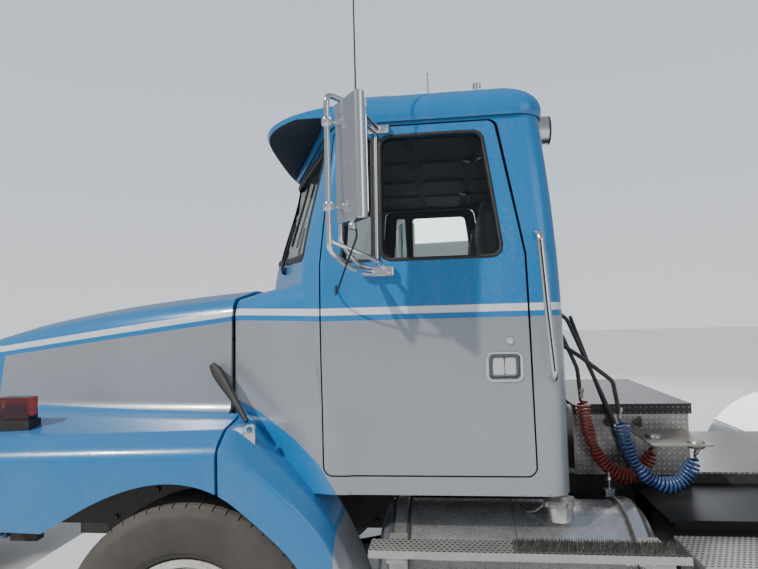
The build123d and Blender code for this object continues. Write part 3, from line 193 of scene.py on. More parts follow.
def raised(outline, levels, origin=(0, 0, 0), x=X, y=Y):
    """An outline lifted through levels of (inset, height): each point moves in along its own normal."""
    L = np.array(outline, float)
    run = unit(np.roll(L, -1, 0) - np.roll(L, 1, 0))
    out = np.stack([run[:, 1], -run[:, 0]], -1)
    if (L[:, 0] * np.roll(L[:, 1], -1) - np.roll(L[:, 0], -1) * L[:, 1]).sum() < 0:
        out = -out
    rows = [np.column_stack([L - inset * out, np.full(len(L), height)]) for inset, height in levels]
    return woven(placed(capped(np.array(rows)), origin, x, y), wrap_v=True)


def box_loop(width, height, radius):
    """A rectangle's outline about its middle, with rounded corners."""
    a, b = width / 2, height / 2
    return rounded_loop([(a, b), (-a, b), (-a, -b), (a, -b)], radius)


def slab(size, origin, x=X, y=Y, corner=0.004, edge=0.0015):
    """A plate or block of size (a, b, c) with rounded corners and softened edges, standing on origin."""
    a, b, c = size
    return raised(box_loop(a, b, corner), [(edge, 0), (0, edge), (0, c - edge), (edge, c)], origin, x, y)


def joined(shapes):
    """Several forms as one set of points and faces."""
    start = np.cumsum([0] + [len(V) for V, F in shapes])
    return np.concatenate([V for V, F in shapes]), np.concatenate([F + s for s, (V, F) in zip(start, shapes)])


def standing(shape, spots, ways):
    """A form repeated at each spot, with its +z turned to the way given there: W = R·v + spot."""
    V, F = shape
    z = unit(np.broadcast_to(np.array(ways, float), np.shape(spots)))
    x = unit(np.cross((0.13, 0.29, 0.95), z))
    W = np.einsum("nij,vj->nvi", np.stack([x, np.cross(z, x), z], -1), V) + np.array(spots)[:, None]
    return W.reshape(-1, 3), (F + np.arange(len(W))[:, None, None] * len(V)).reshape(-1, F.shape[1])


def mirrored(shape):
    """The same form on the other side of the tractor."""
    return shape[0] * np.array([1, -1, 1]), shape[1][:, ::-1]


print("surface helpers ready")

# %% [markdown]
# A piece is one mesh with one finish that rides on one body of the tractor, so it moves with that body. Small
# parts have to sit on curved metal, and reading their places off a drawing would leave them floating or sunk.
# seats_on() sends straight lines at a solid instead, and gives the points that they meet and the normals there.


# %% Making a piece from surfaces
def on_show(name, mesh, look, body, sharp, replaces):
    """A mesh as a smooth-shaded piece with its finish, riding on its body and standing for solids."""
    mesh.shade_smooth()
    mesh.set_sharp_from_angle(angle=math.radians(sharp))
    mesh.materials.append(look)
    made = shown(name, mesh)
    if replaces:
        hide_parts(*replaces)
    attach(made, body)
    return made


def piece(name, shapes, look, body="chassis", sharp=38, replaces=()):
    """One piece from several closed forms. Seams and poles are merged, and the faces turned outwards."""
    start = np.cumsum([0] + [len(V) for V, F in shapes])
    faces = [face for s, (V, F) in zip(start, shapes) for face in (F + s).tolist()]
    mesh = bpy.data.meshes.new(name)
    mesh.from_pydata(np.concatenate([V for V, F in shapes]).tolist(), [], faces)
    work = bmesh.new()
    work.from_mesh(mesh)
    bmesh.ops.remove_doubles(work, verts=work.verts, dist=1e-6)
    bmesh.ops.dissolve_degenerate(work, edges=work.edges, dist=1e-7)
    bmesh.ops.recalc_face_normals(work, faces=work.faces)
    work.to_mesh(mesh)
    work.free()
    print(f"{name}: {len(mesh.polygons)} faces")
    return on_show(name, mesh, look, body, sharp, replaces)


def mesh_array(values, field, width, kind=float):
    """One field of all vertices or faces of a mesh as an array."""
    found = np.empty(len(values) * width, kind)
    values.foreach_get(field, found)
    return found.reshape(-1, width)


def seats_on(node, axis, start, way, spots):
    """Where lines along an axis first meet a solid: points and outward normals. A line sets out at start on
    that axis, runs its positive or negative way, and has a spot's two numbers as its other coordinates."""
    mesh = solids[node].data
    faces = [face.vertices[:] for face in mesh.polygons]
    tree = BVHTree.FromPolygons(mesh_array(mesh.vertices, "co", 3).tolist(), faces)
    run = Vector(way * np.eye(3)[axis])
    hits = [tree.ray_cast(Vector(spot), run) for spot in np.insert(spots, axis, start, axis=1)]
    met = [hit for hit in hits if hit[0] is not None]
    return np.array([hit[0] for hit in met]), np.array([hit[1] for hit in met])


print("piece maker ready")

# %% [markdown]
# Two curled air lines hang behind the cab, red and blue. A curly line is a thin hose wound in a helix round a
# slack route. The route is a smooth NURBS curve through the same points as the solid's; its own sampled line
# gives the middle of the helix, which is worked out as one array: middle + radius·(cos, sin) in the two
# directions square to the run. A slow wobble in the radius keeps the coil from looking machined.

# %% Routes of the air lines
air_routes = {
    "red": [(0.430, 0.560, 1.300), (0.415, 0.566, 1.160), (0.360, 0.572, 1.010), (0.265, 0.578, 0.945),
            (0.180, 0.580, 0.990), (0.140, 0.580, 1.090)],
    "blue": [(0.300, 0.668, 1.230), (0.285, 0.672, 1.100), (0.220, 0.676, 0.985), (0.120, 0.680, 0.940),
             (0.040, 0.680, 0.990), (0.010, 0.680, 1.085)],
}
coil_radius, hose_radius, coil_pitch, coil_lead = 0.034, 0.0058, 0.0155, 0.05
points_per_turn = 18
hose_up = (0, 1, 0.2)


def route_line(name, points):
    """The points of a smooth NURBS spline through a route, as its own mesh gives them."""
    data = bpy.data.curves.new(name, "CURVE")
    data.dimensions = "3D"
    data.resolution_u = 24
    spline = data.splines.new("NURBS")
    spline.points.add(len(points) - 1)
    spline.points.foreach_set("co", np.column_stack([points, np.ones(len(points))]).ravel())
    spline.order_u = 3
    spline.use_endpoint_u = True
    holder = bpy.data.objects.new(name, data)
    line = bpy.data.meshes.new_from_object(holder)
    found = mesh_array(line.vertices, "co", 3)
    bpy.data.meshes.remove(line)
    bpy.data.objects.remove(holder)
    bpy.data.curves.remove(data)
    return found


def length_of(path):
    """Length of a line of points."""
    return float(np.linalg.norm(np.diff(path, axis=0), axis=1).sum())


def coiled(line, radius, pitch, lead):
    """A helix round a line. Over lead metres at each end its radius and its winding grow from nothing."""
    length = length_of(line)
    turns = (length - 1.2 * lead) / pitch
    middle = stepped(line, int(turns * points_per_turn))
    run = unit(np.gradient(middle, axis=0))
    side = unit(np.cross(run, hose_up))
    s = np.linspace(0, 1, len(middle))
    ease = np.clip(np.minimum(s, 1 - s) * length / lead, 0, 1)
    ease = ease * ease * (3 - 2 * ease)
    wobble = 1 + 0.16 * np.sin(9 * s + 1.3) + 0.10 * np.sin(31 * s) - 0.08
    wound = np.cumsum(ease)
    t = FULL_TURN * turns * wound / wound[-1]
    return middle + (radius * ease * wobble)[:, None] * (
        np.cos(t)[:, None] * side + np.sin(t)[:, None] * np.cross(side, run))


air_paths = {}
for word, points in air_routes.items():
    middle = route_line(f"{word}_route", points)
    air_paths[word] = coiled(middle, coil_radius - 1.3 * hose_radius, coil_pitch, coil_lead)
    print(word, "line: route", round(length_of(middle), 3), "hose", round(length_of(air_paths[word]), 3))

# %% [markdown]
# A material is a small network of nodes. These helpers add a node, or a step of arithmetic, in the network
# that its inputs already belong to, so a formula reads almost as it would on paper.


# %% Node helpers
def grow(tree, kind, **settings):
    """Adds a node. A setting named after a property sets it. One named after a socket, or i and its number,
    fills the socket with a value or a link."""
    made = tree.nodes.new(kind)
    for key in [key for key in settings if key in made.bl_rna.properties]:
        setattr(made, key, settings.pop(key))
    for key, value in settings.items():
        numbered = key[0] == "i" and key[1:].isdigit()
        socket = made.inputs[int(key[1:]) if numbered else key.replace("_", " ")]
        if isinstance(value, bpy.types.NodeSocket):
            tree.links.new(value, socket)
        else:
            socket.default_value = value
    return made


def maths(how, a, b=0.0, clamp=False):
    """One step of arithmetic in the tree of whichever input is a socket."""
    tree = (a if isinstance(a, bpy.types.NodeSocket) else b).id_data
    return grow(tree, "ShaderNodeMath", operation=how, use_clamp=clamp, i0=a, i1=b).outputs[0]


plus, minus, times, over, power, larger = (
    partial(maths, how) for how in ("ADD", "SUBTRACT", "MULTIPLY", "DIVIDE", "POWER", "MAXIMUM"))


def span(value, low, high, to_low=0.0, to_high=1.0, smooth=False):
    """A value carried from one range to another and held inside it."""
    return grow(value.id_data, "ShaderNodeMapRange", interpolation_type="SMOOTHSTEP" if smooth else "LINEAR",
                Value=value, From_Min=low, From_Max=high, To_Min=to_low, To_Max=to_high).outputs[0]


def blend(factor, low, high):
    """A mix of two numbers."""
    return grow(factor.id_data, "ShaderNodeMix", data_type="FLOAT", Factor=factor, i2=low, i3=high).outputs[0]


def blend_colour(factor, low, high, how="MIX"):
    """A mix of two colours, one of which or the factor is a socket."""
    tree = next(s.id_data for s in (factor, low) if isinstance(s, bpy.types.NodeSocket))
    mixed = grow(tree, "ShaderNodeMix", data_type="RGBA", blend_type=how, Factor=factor, i6=low, i7=high)
    return mixed.outputs[2]


def here(tree):
    """The shaded point in Object coordinates."""
    return grow(tree, "ShaderNodeTexCoord").outputs["Object"]


def looking(tree):
    """The direction in which the face looks, as X, Y and Z."""
    return split(grow(tree, "ShaderNodeNewGeometry").outputs["Normal"])


def split(vector):
    """A vector's X, Y and Z."""
    return grow(vector.id_data, "ShaderNodeSeparateXYZ", Vector=vector).outputs


def noise(place, scale, detail, rough=0.5):
    """Cloudy noise at a place."""
    return grow(place.id_data, "ShaderNodeTexNoise", Vector=place, Scale=scale, Detail=detail,
                Roughness=rough).outputs[0]


def bumped(height, strength, distance):
    """A normal that follows a height."""
    return grow(height.id_data, "ShaderNodeBump", Strength=strength, Distance=distance, Height=height).outputs[0]


def blank(name):
    """A new material with an empty node tree."""
    made = bpy.data.materials.new(name)
    made.use_nodes = True
    made.node_tree.nodes.clear()
    return made, made.node_tree


def shaded(tree, **values):
    """The Principled shader with these values, wired to the material's output."""
    grow(tree, "ShaderNodeOutputMaterial", Surface=grow(tree, "ShaderNodeBsdfPrincipled", **values).outputs[0])


print("node helpers ready")

# %% [markdown]
# The studio is a pale floor under soft light. The key light is a sun, high at the front on the driver's side
# as in the photograph, so the mirror throws its shadow down and back across the door. The surroundings look
# brighter than they shine, which keeps the backdrop pale and the shadows visible.

# %% Floor and light
floor_paint, tree = blank("studio_floor")
tone = span(noise(here(tree), 0.6, 6.0), 0, 1, 0.74, 0.82)
shade = grow(tree, "ShaderNodeCombineColor", Red=tone, Green=tone, Blue=tone)
shaded(tree, Base_Color=shade.outputs[0], Roughness=0.85)
floor_reach, floor_lines = 40, 17
lines = np.linspace(-floor_reach, floor_reach, floor_lines)
floor_points, floor_faces = woven(np.stack(np.meshgrid(lines, lines, 0.0, indexing="ij"), -1)[:, :, 0])
floor_mesh = bpy.data.meshes.new("studio_floor")
floor_mesh.from_pydata(floor_points.tolist(), [], floor_faces.tolist())
floor_mesh.materials.append(floor_paint)
shown("studio_floor", floor_mesh)

world = bpy.data.worlds.new("studio")
world.use_nodes = True
bpy.context.scene.world = world
sky = world.node_tree
sky.nodes.clear()
fade = span(split(grow(sky, "ShaderNodeTexCoord").outputs["Generated"])["Z"], -0.15, 0.7)
air = blend_colour(fade, (0.86, 0.87, 0.88, 1), (0.52, 0.62, 0.78, 1))
seen_or_lit = span(grow(sky, "ShaderNodeLightPath").outputs["Is Camera Ray"], 0, 1, 0.50, 1.15)
glow = grow(sky, "ShaderNodeBackground", Color=air, Strength=seen_or_lit)
grow(sky, "ShaderNodeOutputWorld", Surface=glow.outputs[0])


def lamp(name, kind, place, target, power, colour, **settings):
    """A lamp aimed at a point."""
    data = bpy.data.lights.new(name, kind)
    data.energy, data.color = power, colour
    for key, value in settings.items():
        setattr(data, key, value)
    made = shown(name, data)
    made.location = place
    made.rotation_euler = (Vector(target) - Vector(place)).to_track_quat("-Z", "Y").to_euler()


lamp("key", "SUN", (7.2, 6.4, 9.4), (0.8, 0.4, 1.2), 3.1, (1.0, 0.965, 0.91), angle=math.radians(1.6))
lamp("fill", "AREA", (-6.5, 8.0, 4.5), (0.0, 0.0, 1.2), 170, (0.92, 0.96, 1.0), shape="SQUARE", size=6.0)
lamp("far", "AREA", (-1.0, -9.0, 6.0), (0.0, 0.0, 1.2), 320, (0.95, 0.97, 1.0), shape="SQUARE", size=6.0)
print("studio ready")

# %% [markdown]
# Effects that many finishes share are node groups that put out only masks, colours and normals:
# road dust settles low down and on faces that look up, wear shows on edges and in small chips, streaks run
# down upright faces, and grain makes fine bumps. Each material places them with its own values.


# %% Shared effects
def effect(outputs, **inputs):
    """Makes a shader node group with named sockets out of the function below it, which wires the group and
    lists its results. outputs is {name: kind}, inputs are name=value."""
    def wired(build):
        made = bpy.data.node_groups.new(build.__name__, "ShaderNodeTree")
        for key, value in inputs.items():
            kind = "NodeSocketFloat" if isinstance(value, float) else "NodeSocketColor"
            made.interface.new_socket(name=key, in_out="INPUT", socket_type=kind).default_value = value
        for key, kind in outputs.items():
            made.interface.new_socket(name=key, in_out="OUTPUT", socket_type="NodeSocket" + kind)
        given, out = made.nodes.new("NodeGroupInput").outputs, made.nodes.new("NodeGroupOutput")
        for key, result in zip(outputs, build(made, given)):
            made.links.new(result, out.inputs[key])
        return made
    return wired


@effect({"Mask": "Float"}, Amount=0.5, Low=0.2, High=1.4, Scale=3.0)
def road_dust(tree, given):
    """Mask = Amount · patches · (0.75 · how low the point is + 0.7 · how much its face looks up, squared)."""
    where = here(tree)
    low_down = span(split(where)["Z"], given["Low"], given["High"], 1.0, 0.0)
    settled = power(larger(looking(tree)["Z"], 0.0), 2.0)
    patchy = span(noise(where, given["Scale"], 7.0, 0.62), 0.32, 0.68, 0.35, 1.0)
    heap = plus(times(low_down, 0.75), times(settled, 0.7))
    return [times(times(heap, patchy), given["Amount"], True)]


@effect({"Mask": "Float"}, Amount=0.5, Scale=40.0)
def edge_wear(tree, given):
    """Mask = Amount · how sharp the edge is · broken patches."""
    ridge = span(grow(tree, "ShaderNodeNewGeometry").outputs["Pointiness"], 0.515, 0.58)
    broken = span(noise(here(tree), given["Scale"], 8.0, 0.7), 0.5, 0.62)
    return [times(times(ridge, broken), given["Amount"], True)]


@effect({"Mask": "Float"}, Amount=0.4, Scale=18.0)
def run_streaks(tree, given):
    """Mask = Amount · noise drawn out downwards."""
    pulled = grow(tree, "ShaderNodeMapping", Vector=here(tree), Scale=(1.0, 1.0, 0.09)).outputs[0]
    return [times(span(noise(pulled, given["Scale"], 5.0, 0.6), 0.52, 0.78), given["Amount"], True)]


@effect({"Normal": "Vector", "Value": "Float"}, Scale=300.0, Depth=0.2, Distance=0.001)
def fine_grain(tree, given):
    """Fine noise, as a bumped normal and as a value."""
    specks = noise(here(tree), given["Scale"], 4.0, 0.6)
    return [bumped(specks, given["Depth"], given["Distance"]), specks]


@effect({"Colour": "Color"}, Colour=(0.5, 0.5, 0.5, 1), Other=(0.4, 0.4, 0.4, 1), Scale=4.0, Spread=0.5)
def mottle(tree, given):
    """A colour that drifts towards another in soft patches."""
    patches = span(noise(here(tree), given["Scale"], 6.0, 0.65), 0.35, 0.7)
    return [blend_colour(times(patches, given["Spread"]), given["Colour"], given["Other"])]


print("shared effects:", [g.name for g in bpy.data.node_groups])

# %% [markdown]
# Most finishes are one recipe with different values: a base colour that drifts a little, worn edges that show
# what lies under it, streaks, dust, and grain. Values that don't change over a surface, such as coat, go
# straight on the Principled shader's own sockets.

# %% The common recipe
dust_colour = (0.44, 0.385, 0.31, 1)


def use(tree, shared, **values):
    """A shared effect placed in a material; gives its outputs."""
    return grow(tree, "ShaderNodeGroup", node_tree=shared, **values).outputs


def finish(name, colour, other, spread, patch, rough, metal=0.0, coat=0.0, bare=None, wear=0.4,
           dust=0.3, dust_low=0.2, dust_high=1.5, streak=0.15, grain=300.0, depth=0.1):
    """A material: drifting colour, bare edges, streaks and dust over one Principled shader."""
    made, tree = blank(name)
    tone = use(tree, mottle, Colour=(*colour, 1), Other=(*other, 1), Scale=patch, Spread=spread)[0]
    specks = use(tree, fine_grain, Scale=grain, Depth=depth)
    if bare:
        tone = blend_colour(use(tree, edge_wear, Amount=wear)[0], tone, (*bare, 1))
    if streak:
        grime = tuple(0.45 * c + 0.06 for c in colour) + (1,)
        tone = blend_colour(use(tree, run_streaks, Amount=streak)[0], tone, grime)
    settled = use(tree, road_dust, Amount=dust, Low=dust_low, High=dust_high)[0]
    values = {"Base_Color": blend_colour(settled, tone, dust_colour), "Normal": specks["Normal"]}
    swing = span(specks["Value"], 0.3, 0.7, rough - 0.06, rough + 0.06)
    if metal:
        values["Metallic"] = times(minus(1.0, settled), metal)
    shaded(tree, Roughness=larger(swing, times(settled, 0.9), True), Coat_Weight=coat, Coat_Roughness=0.12,
           **values)
    return made


chrome = finish("bright_chrome", (0.82, 0.83, 0.84), (0.70, 0.70, 0.69), 0.4, 9, 0.13, 1.0, dust=0.28, streak=0.1,
                grain=900, depth=0.03)
stainless = finish("polished_stainless", (0.70, 0.71, 0.72), (0.60, 0.60, 0.60), 0.5, 6, 0.24, 1.0, dust=0.14,
                   streak=0.18, grain=500, depth=0.05)
bright_aluminium = finish("bright_aluminium", (0.72, 0.725, 0.73), (0.58, 0.57, 0.56), 0.6, 5, 0.12, 1.0,
                          dust=0.10, dust_high=1.3, grain=260, depth=0.04)
tank_aluminium = finish("tank_aluminium", (0.72, 0.72, 0.72), (0.50, 0.50, 0.49), 0.9, 16, 0.30, 1.0,
                        dust=0.22, dust_high=1.3, grain=120, depth=0.06)
dull_aluminium = finish("dull_aluminium", (0.52, 0.52, 0.51), (0.36, 0.35, 0.33), 0.8, 7, 0.48, 0.9, dust=0.5,
                        dust_high=1.6, streak=0.3, grain=420, depth=0.25)
frame_black = finish("chassis_black", (0.018, 0.018, 0.019), (0.034, 0.032, 0.030), 0.8, 5, 0.5,
                     bare=(0.14, 0.09, 0.06), wear=0.15, dust=0.12, dust_high=1.4, grain=220, depth=0.3)
cast_metal = finish("engine_casting", (0.06, 0.06, 0.062), (0.10, 0.085, 0.07), 0.8, 9, 0.6, 0.2, dust=0.6,
                    grain=160, depth=0.6)
greased_steel = finish("greased_steel", (0.10, 0.09, 0.08), (0.035, 0.03, 0.026), 0.9, 6, 0.34, 0.6,
                       streak=0.2, grain=180, depth=0.3)
hot_steel = finish("hot_steel", (0.24, 0.20, 0.17), (0.30, 0.14, 0.07), 0.8, 11, 0.55, 0.7, dust=0.4, depth=0.3)
bolt_steel = finish("bolt_steel", (0.40, 0.39, 0.37), (0.26, 0.20, 0.15), 0.7, 30, 0.42, 0.9, grain=800, depth=0.2)
wheel_white = finish("wheel_white", (0.70, 0.70, 0.68), (0.52, 0.48, 0.42), 0.6, 9, 0.4, coat=0.2,
                     bare=(0.22, 0.10, 0.05), wear=0.5, dust=0.6, dust_high=1.3, streak=0.2, grain=350, depth=0.12)
seal_rubber = finish("seal_rubber", (0.014, 0.014, 0.014), (0.03, 0.029, 0.028), 0.7, 20, 0.58, dust=0.10,
                     streak=0.05, grain=600, depth=0.2)
flap_rubber = finish("flap_rubber", (0.02, 0.02, 0.02), (0.05, 0.047, 0.042), 0.8, 6, 0.7, dust=0.32, grain=260,
                     depth=0.4)
liner = finish("cab_liner", (0.034, 0.036, 0.040), (0.05, 0.052, 0.056), 0.6, 6, 0.7, dust=0.10, dust_low=1.0,
               dust_high=1.6, streak=0.0, grain=420, depth=0.5)
inner_black = finish("under_hood_black", (0.022, 0.022, 0.023), (0.05, 0.046, 0.04), 0.7, 5, 0.75, dust=0.45,
                     streak=0.1, grain=200, depth=0.4)
seat_vinyl = finish("seat_vinyl", (0.06, 0.064, 0.072), (0.09, 0.09, 0.095), 0.5, 9, 0.5, dust=0.12, dust_low=1.2,
                    dust_high=2.0, streak=0.0, grain=650, depth=0.35)
hose_black = finish("black_hose", (0.025, 0.025, 0.026), (0.05, 0.05, 0.05), 0.6, 25, 0.5, dust=0.25, streak=0.0,
                    grain=500, depth=0.25)
hose_finish = {
    "red": finish("red_hose", (0.34, 0.014, 0.012), (0.16, 0.02, 0.02), 0.7, 30, 0.30, coat=0.3, dust=0.25,
                  streak=0.0, grain=500, depth=0.08),
    "blue": finish("blue_hose", (0.010, 0.075, 0.26), (0.012, 0.03, 0.09), 0.7, 30, 0.30, coat=0.3, dust=0.25,
                   streak=0.0, grain=500, depth=0.08),
}
trim_plastic = finish("trim_plastic", (0.045, 0.047, 0.05), (0.06, 0.06, 0.062), 0.5, 8, 0.55, dust=0.12,
                      streak=0.0, grain=700, depth=0.35)
tyre_rubber = finish("tyre_rubber", (0.020, 0.020, 0.020), (0.045, 0.041, 0.036), 0.8, 5, 0.72, dust=0.45,
                     dust_low=0.0, streak=0.0, grain=420, depth=0.35)
print("finishes:", len(bpy.data.materials))

# %% [markdown]
# The paint scheme is a faded light blue with a silver lower half. Between them run a white band and a thin
# blue one, level along the cab and dropping towards the nose. The blue comes back below: on the fenders, and
# on the cab in a curve that climbs forward. All of it is arithmetic on Object coordinates, so it needs no
# image: each region is a mask from x and z, and masks mix flat colours.

# %% Paint scheme as a group
soft_edge = 0.0012
cab_front_x, nose_x = 1.862, 3.113
white_depth, silver_depth = 0.027, 0.048
# Each line is x or z from and to, then z or x there: the band on the cab, its drop, the fenders' foot, the curve.
band_on_cab, band_drop = (1.48, cab_front_x, 1.710, 1.722), (cab_front_x, nose_x, 0, -0.143)
foot_line, curve_start = (1.941, 2.963, 1.302, 1.319), (1.026, 1.128, 1.430, 1.496)
curve_steps = ((1.128, 1.216, 0.105), (1.216, 1.306, 0.154), (1.306, 1.36, 0.14))


@effect({"Colour": "Color", "Silver": "Float"}, Blue=(0.010, 0.195, 0.48, 1), White=(0.74, 0.76, 0.78, 1),
        Silver=(0.35, 0.372, 0.41, 1))
def paint_scheme(tree, given):
    """White lies just below the band's line. Silver lies under it: on the hood above the fender's foot line,
    on the cab behind a curve whose x grows with z in four straight steps."""
    place = split(here(tree))
    along, rise = place["X"], place["Z"]
    band_rise = plus(span(along, *band_on_cab), span(along, *band_drop))
    below = minus(band_rise, rise)
    white = times(span(below, 0, soft_edge), span(below, white_depth + soft_edge, white_depth))
    above_foot = span(minus(rise, span(along, *foot_line)), 0, soft_edge)
    silver_hood = times(above_foot, span(along, 3.10, 3.09))
    curve_x = span(rise, *curve_start)
    for low, high, push in curve_steps:
        curve_x = plus(curve_x, span(rise, low, high, 0, push))
    silver_cab = span(minus(curve_x, along), 0, soft_edge)
    lower = blend(span(along, 1.880, 1.882), silver_cab, silver_hood)
    silver = times(lower, span(below, silver_depth, silver_depth + soft_edge))
    return [blend_colour(white, blend_colour(silver, given["Blue"], given["Silver"]), given["White"]), silver]


body_paint, tree = blank("body_paint")
scheme = use(tree, paint_scheme)
drift = use(tree, mottle, Colour=(1, 1, 1, 1), Other=(0.84, 0.86, 0.88, 1), Scale=1.7, Spread=0.55)[0]
tone = blend_colour(1.0, scheme["Colour"], drift, "MULTIPLY")
tone = blend_colour(use(tree, run_streaks, Amount=0.10, Scale=14.0)[0], tone, (0.30, 0.30, 0.29, 1))
tone = blend_colour(use(tree, edge_wear, Amount=0.16, Scale=55.0)[0], tone, (0.33, 0.30, 0.27, 1))
settled = use(tree, road_dust, Amount=0.12, Low=0.5, High=1.5, Scale=2.4)[0]
peel = use(tree, fine_grain, Scale=240.0, Depth=0.035)
shaded(tree, Base_Color=blend_colour(settled, tone, dust_colour), Metallic=times(scheme["Silver"], 0.32),
       Roughness=larger(span(peel["Value"], 0.3, 0.7, 0.26, 0.34), times(settled, 1.6), True),
       Normal=peel["Normal"], Coat_Weight=0.35, Coat_Roughness=0.1)
print("paint scheme ready")

# %% [markdown]
# Glass and lamp lenses let light through. The cab's glass has a light tint and a film of dust; lenses carry
# fine vertical flutes, made with a wave texture that only moves the normal.


# %% Glass and lenses
def clear_finish(name, colour, rough, ior=1.45, flutes=0):
    """A see-through material with an optional fluted face and a film of dust."""
    made, tree = blank(name)
    settled = use(tree, road_dust, Amount=0.12, Low=1.0, High=2.6, Scale=5.0)[0]
    values = {}
    if flutes:
        ribs = grow(tree, "ShaderNodeTexWave", wave_type="BANDS", bands_direction="Y", Vector=here(tree),
                    Scale=flutes)
        values["Normal"] = bumped(ribs.outputs[1], 0.5, 0.001)
    shaded(tree, Base_Color=blend_colour(settled, (*colour, 1), (0.6, 0.57, 0.5, 1)), IOR=ior,
           Roughness=span(settled, 0, 1, rough, 0.75), Transmission_Weight=1.0, **values)
    return made


cab_glass_clear = clear_finish("cab_glass", (0.80, 0.86, 0.84), 0.01, ior=1.3)
lens_red = clear_finish("lens_red", (0.26, 0.008, 0.008), 0.08, flutes=30)
lens_amber = clear_finish("lens_amber", (0.75, 0.22, 0.01), 0.08, flutes=30)
lens_clear = clear_finish("lens_clear", (0.92, 0.93, 0.93), 0.03, flutes=26)

mirror_face, tree = blank("mirror_face")
settled = use(tree, road_dust, Amount=0.1, Low=1.0, High=2.6, Scale=9.0)[0]
shaded(tree, Base_Color=blend_colour(settled, (0.88, 0.89, 0.9, 1), dust_colour), Metallic=1.0,
       Roughness=span(settled, 0, 1, 0.02, 0.6))
print("clear finishes ready")

# %% [markdown]
# Checker plate has raised lugs in alternate directions. A group works their height out from Object
# coordinates: the plane is divided into cells, every second cell turns its lug the other way, and a lug is
# the inside of a stretched ellipse. Which two coordinates are used follows the way the face looks.


# %% Checker plate
@effect({"Height": "Float"}, Pitch=0.026)
def lug_plate(tree, given):
    """Height falls from 1 to 0 as ((a + b)/0.60)² + ((a - b)/0.19)² grows from 0.25 to 1 inside a cell."""
    place, look = split(here(tree)), looking(tree)
    flat, ahead = (span(maths("ABSOLUTE", look[way]), 0.69, 0.71) for way in "ZX")
    u = over(blend(ahead, place["X"], place["Y"]), given["Pitch"])
    v = over(blend(flat, place["Z"], place["Y"]), given["Pitch"])
    parity = maths("MODULO", maths("ABSOLUTE", plus(maths("FLOOR", u), maths("FLOOR", v))), 2.0)
    a = minus(maths("FRACT", u), 0.5)
    b = times(minus(maths("FRACT", v), 0.5), minus(times(parity, 2.0), 1.0))
    long_way, short_way = power(over(plus(a, b), 0.60), 2.0), power(over(minus(a, b), 0.19), 2.0)
    return [span(plus(long_way, short_way), 1.0, 0.25, smooth=True)]


def lug_finish(name, colour, worn, rough, metal, dust):
    """Checker plate: worn bright on its lugs, dusty between them."""
    made, tree = blank(name)
    lugs = use(tree, lug_plate, Pitch=0.023)[0]
    tone = use(tree, mottle, Colour=(*colour, 1), Other=tuple(0.7 * c for c in colour) + (1,), Scale=8.0,
               Spread=0.7)[0]
    rubbed = times(lugs, 0.7)
    kept = times(use(tree, road_dust, Amount=dust, Low=0.4, High=1.6)[0], minus(1.0, rubbed))
    shaded(tree, Base_Color=blend_colour(kept, blend_colour(rubbed, tone, (*worn, 1)), dust_colour),
           Normal=bumped(lugs, 0.9, 0.0022), Roughness=larger(kept, rough, True),
           Metallic=times(minus(1.0, kept), metal))
    return made


box_plate = lug_finish("checker_plate", (0.34, 0.33, 0.31), (0.86, 0.84, 0.80), 0.30, 1.0, 0.18)
dark_plate = lug_finish("dark_checker_plate", (0.03, 0.03, 0.032), (0.20, 0.20, 0.21), 0.42, 0.4, 0.06)
print("checker plate ready")

# %% [markdown]
# A solid arrives as loose triangles with hard edges. dressed() makes a copy, merges it, joins faces that lie
# in one plane, and lets smooth surfaces shade smoothly between edges that stay sharp. The copy stands for
# the solid, which stays in the physics model.


# %% Dress the solids
def dressed(node, look):
    """A merged, smooth-shaded copy of a solid."""
    mesh = solids[node].data.copy()
    mesh.name = node + "_skin"
    mesh.materials.clear()
    work = bmesh.new()
    work.from_mesh(mesh)
    bmesh.ops.remove_doubles(work, verts=work.verts, dist=2e-6)
    bmesh.ops.dissolve_limit(work, angle_limit=math.radians(0.4), verts=work.verts, edges=work.edges)
    work.to_mesh(mesh)
    work.free()
    if "custom_normal" in mesh.attributes:
        mesh.attributes.remove(mesh.attributes["custom_normal"])
    return on_show(node + "_skin", mesh, look, body_with[node], 32, (node,))


skins = {
    body_paint: "cab_shell roof_cap hood_shell door_left door_right cab_skirts",
    cab_glass_clear: "cab_glass door_glass_left door_glass_right",
    chrome: "grille bumper",
    stainless: "grab_handles latch_rings roof_fittings",
    frame_black: "frame front_axle drive_axles rear_suspension coupling_base hose_post knuckle_left knuckle_right "
                 "tie_rod air_tanks radiator",
    cast_metal: "engine",
    greased_steel: "coupling_plate",
    hot_steel: "exhaust",
    tank_aluminium: "fuel_tanks",
    bright_aluminium: "rear_fenders",
    dull_aluminium: "tank_mounts tank_steps battery_box",
    box_plate: "toolbox deck_plate",
    dark_plate: "toolbox_lid",
    wheel_white: " ".join(sorted(node for node in solids if "_rim" in node)),
    flap_rubber: "mudflaps",
    seal_rubber: "hood_latches",
    trim_plastic: "dashboard steering_wheel",
    lens_red: "tail_lamps",
    lens_clear: "hood_lamps",
}
skin = {node: dressed(node, material) for material, nodes in skins.items() for node in nodes.split()}
print("dressed", len(skin), "solids")

# %% [markdown]
# Some solids are one form with two finishes. The cab is painted outside and lined with dark padding inside, and
# a lamp has a black base under its lens. repaint() gives a second finish to the faces that a test picks from
# the arrays of face middles and normals.


# %% Second finishes
def repaint(node, look, chosen):
    """A second finish on the faces of a skin for which chosen(middles, normals) is true."""
    mesh = skin[node].data
    picked = chosen(mesh_array(mesh.polygons, "center", 3), mesh_array(mesh.polygons, "normal", 3))
    numbers = mesh_array(mesh.polygons, "material_index", 1, int).ravel()
    mesh.materials.append(look)
    numbers[picked] = len(mesh.materials) - 1
    mesh.polygons.foreach_set("material_index", numbers)
    print(node, "second finish on", int(picked.sum()), "faces")


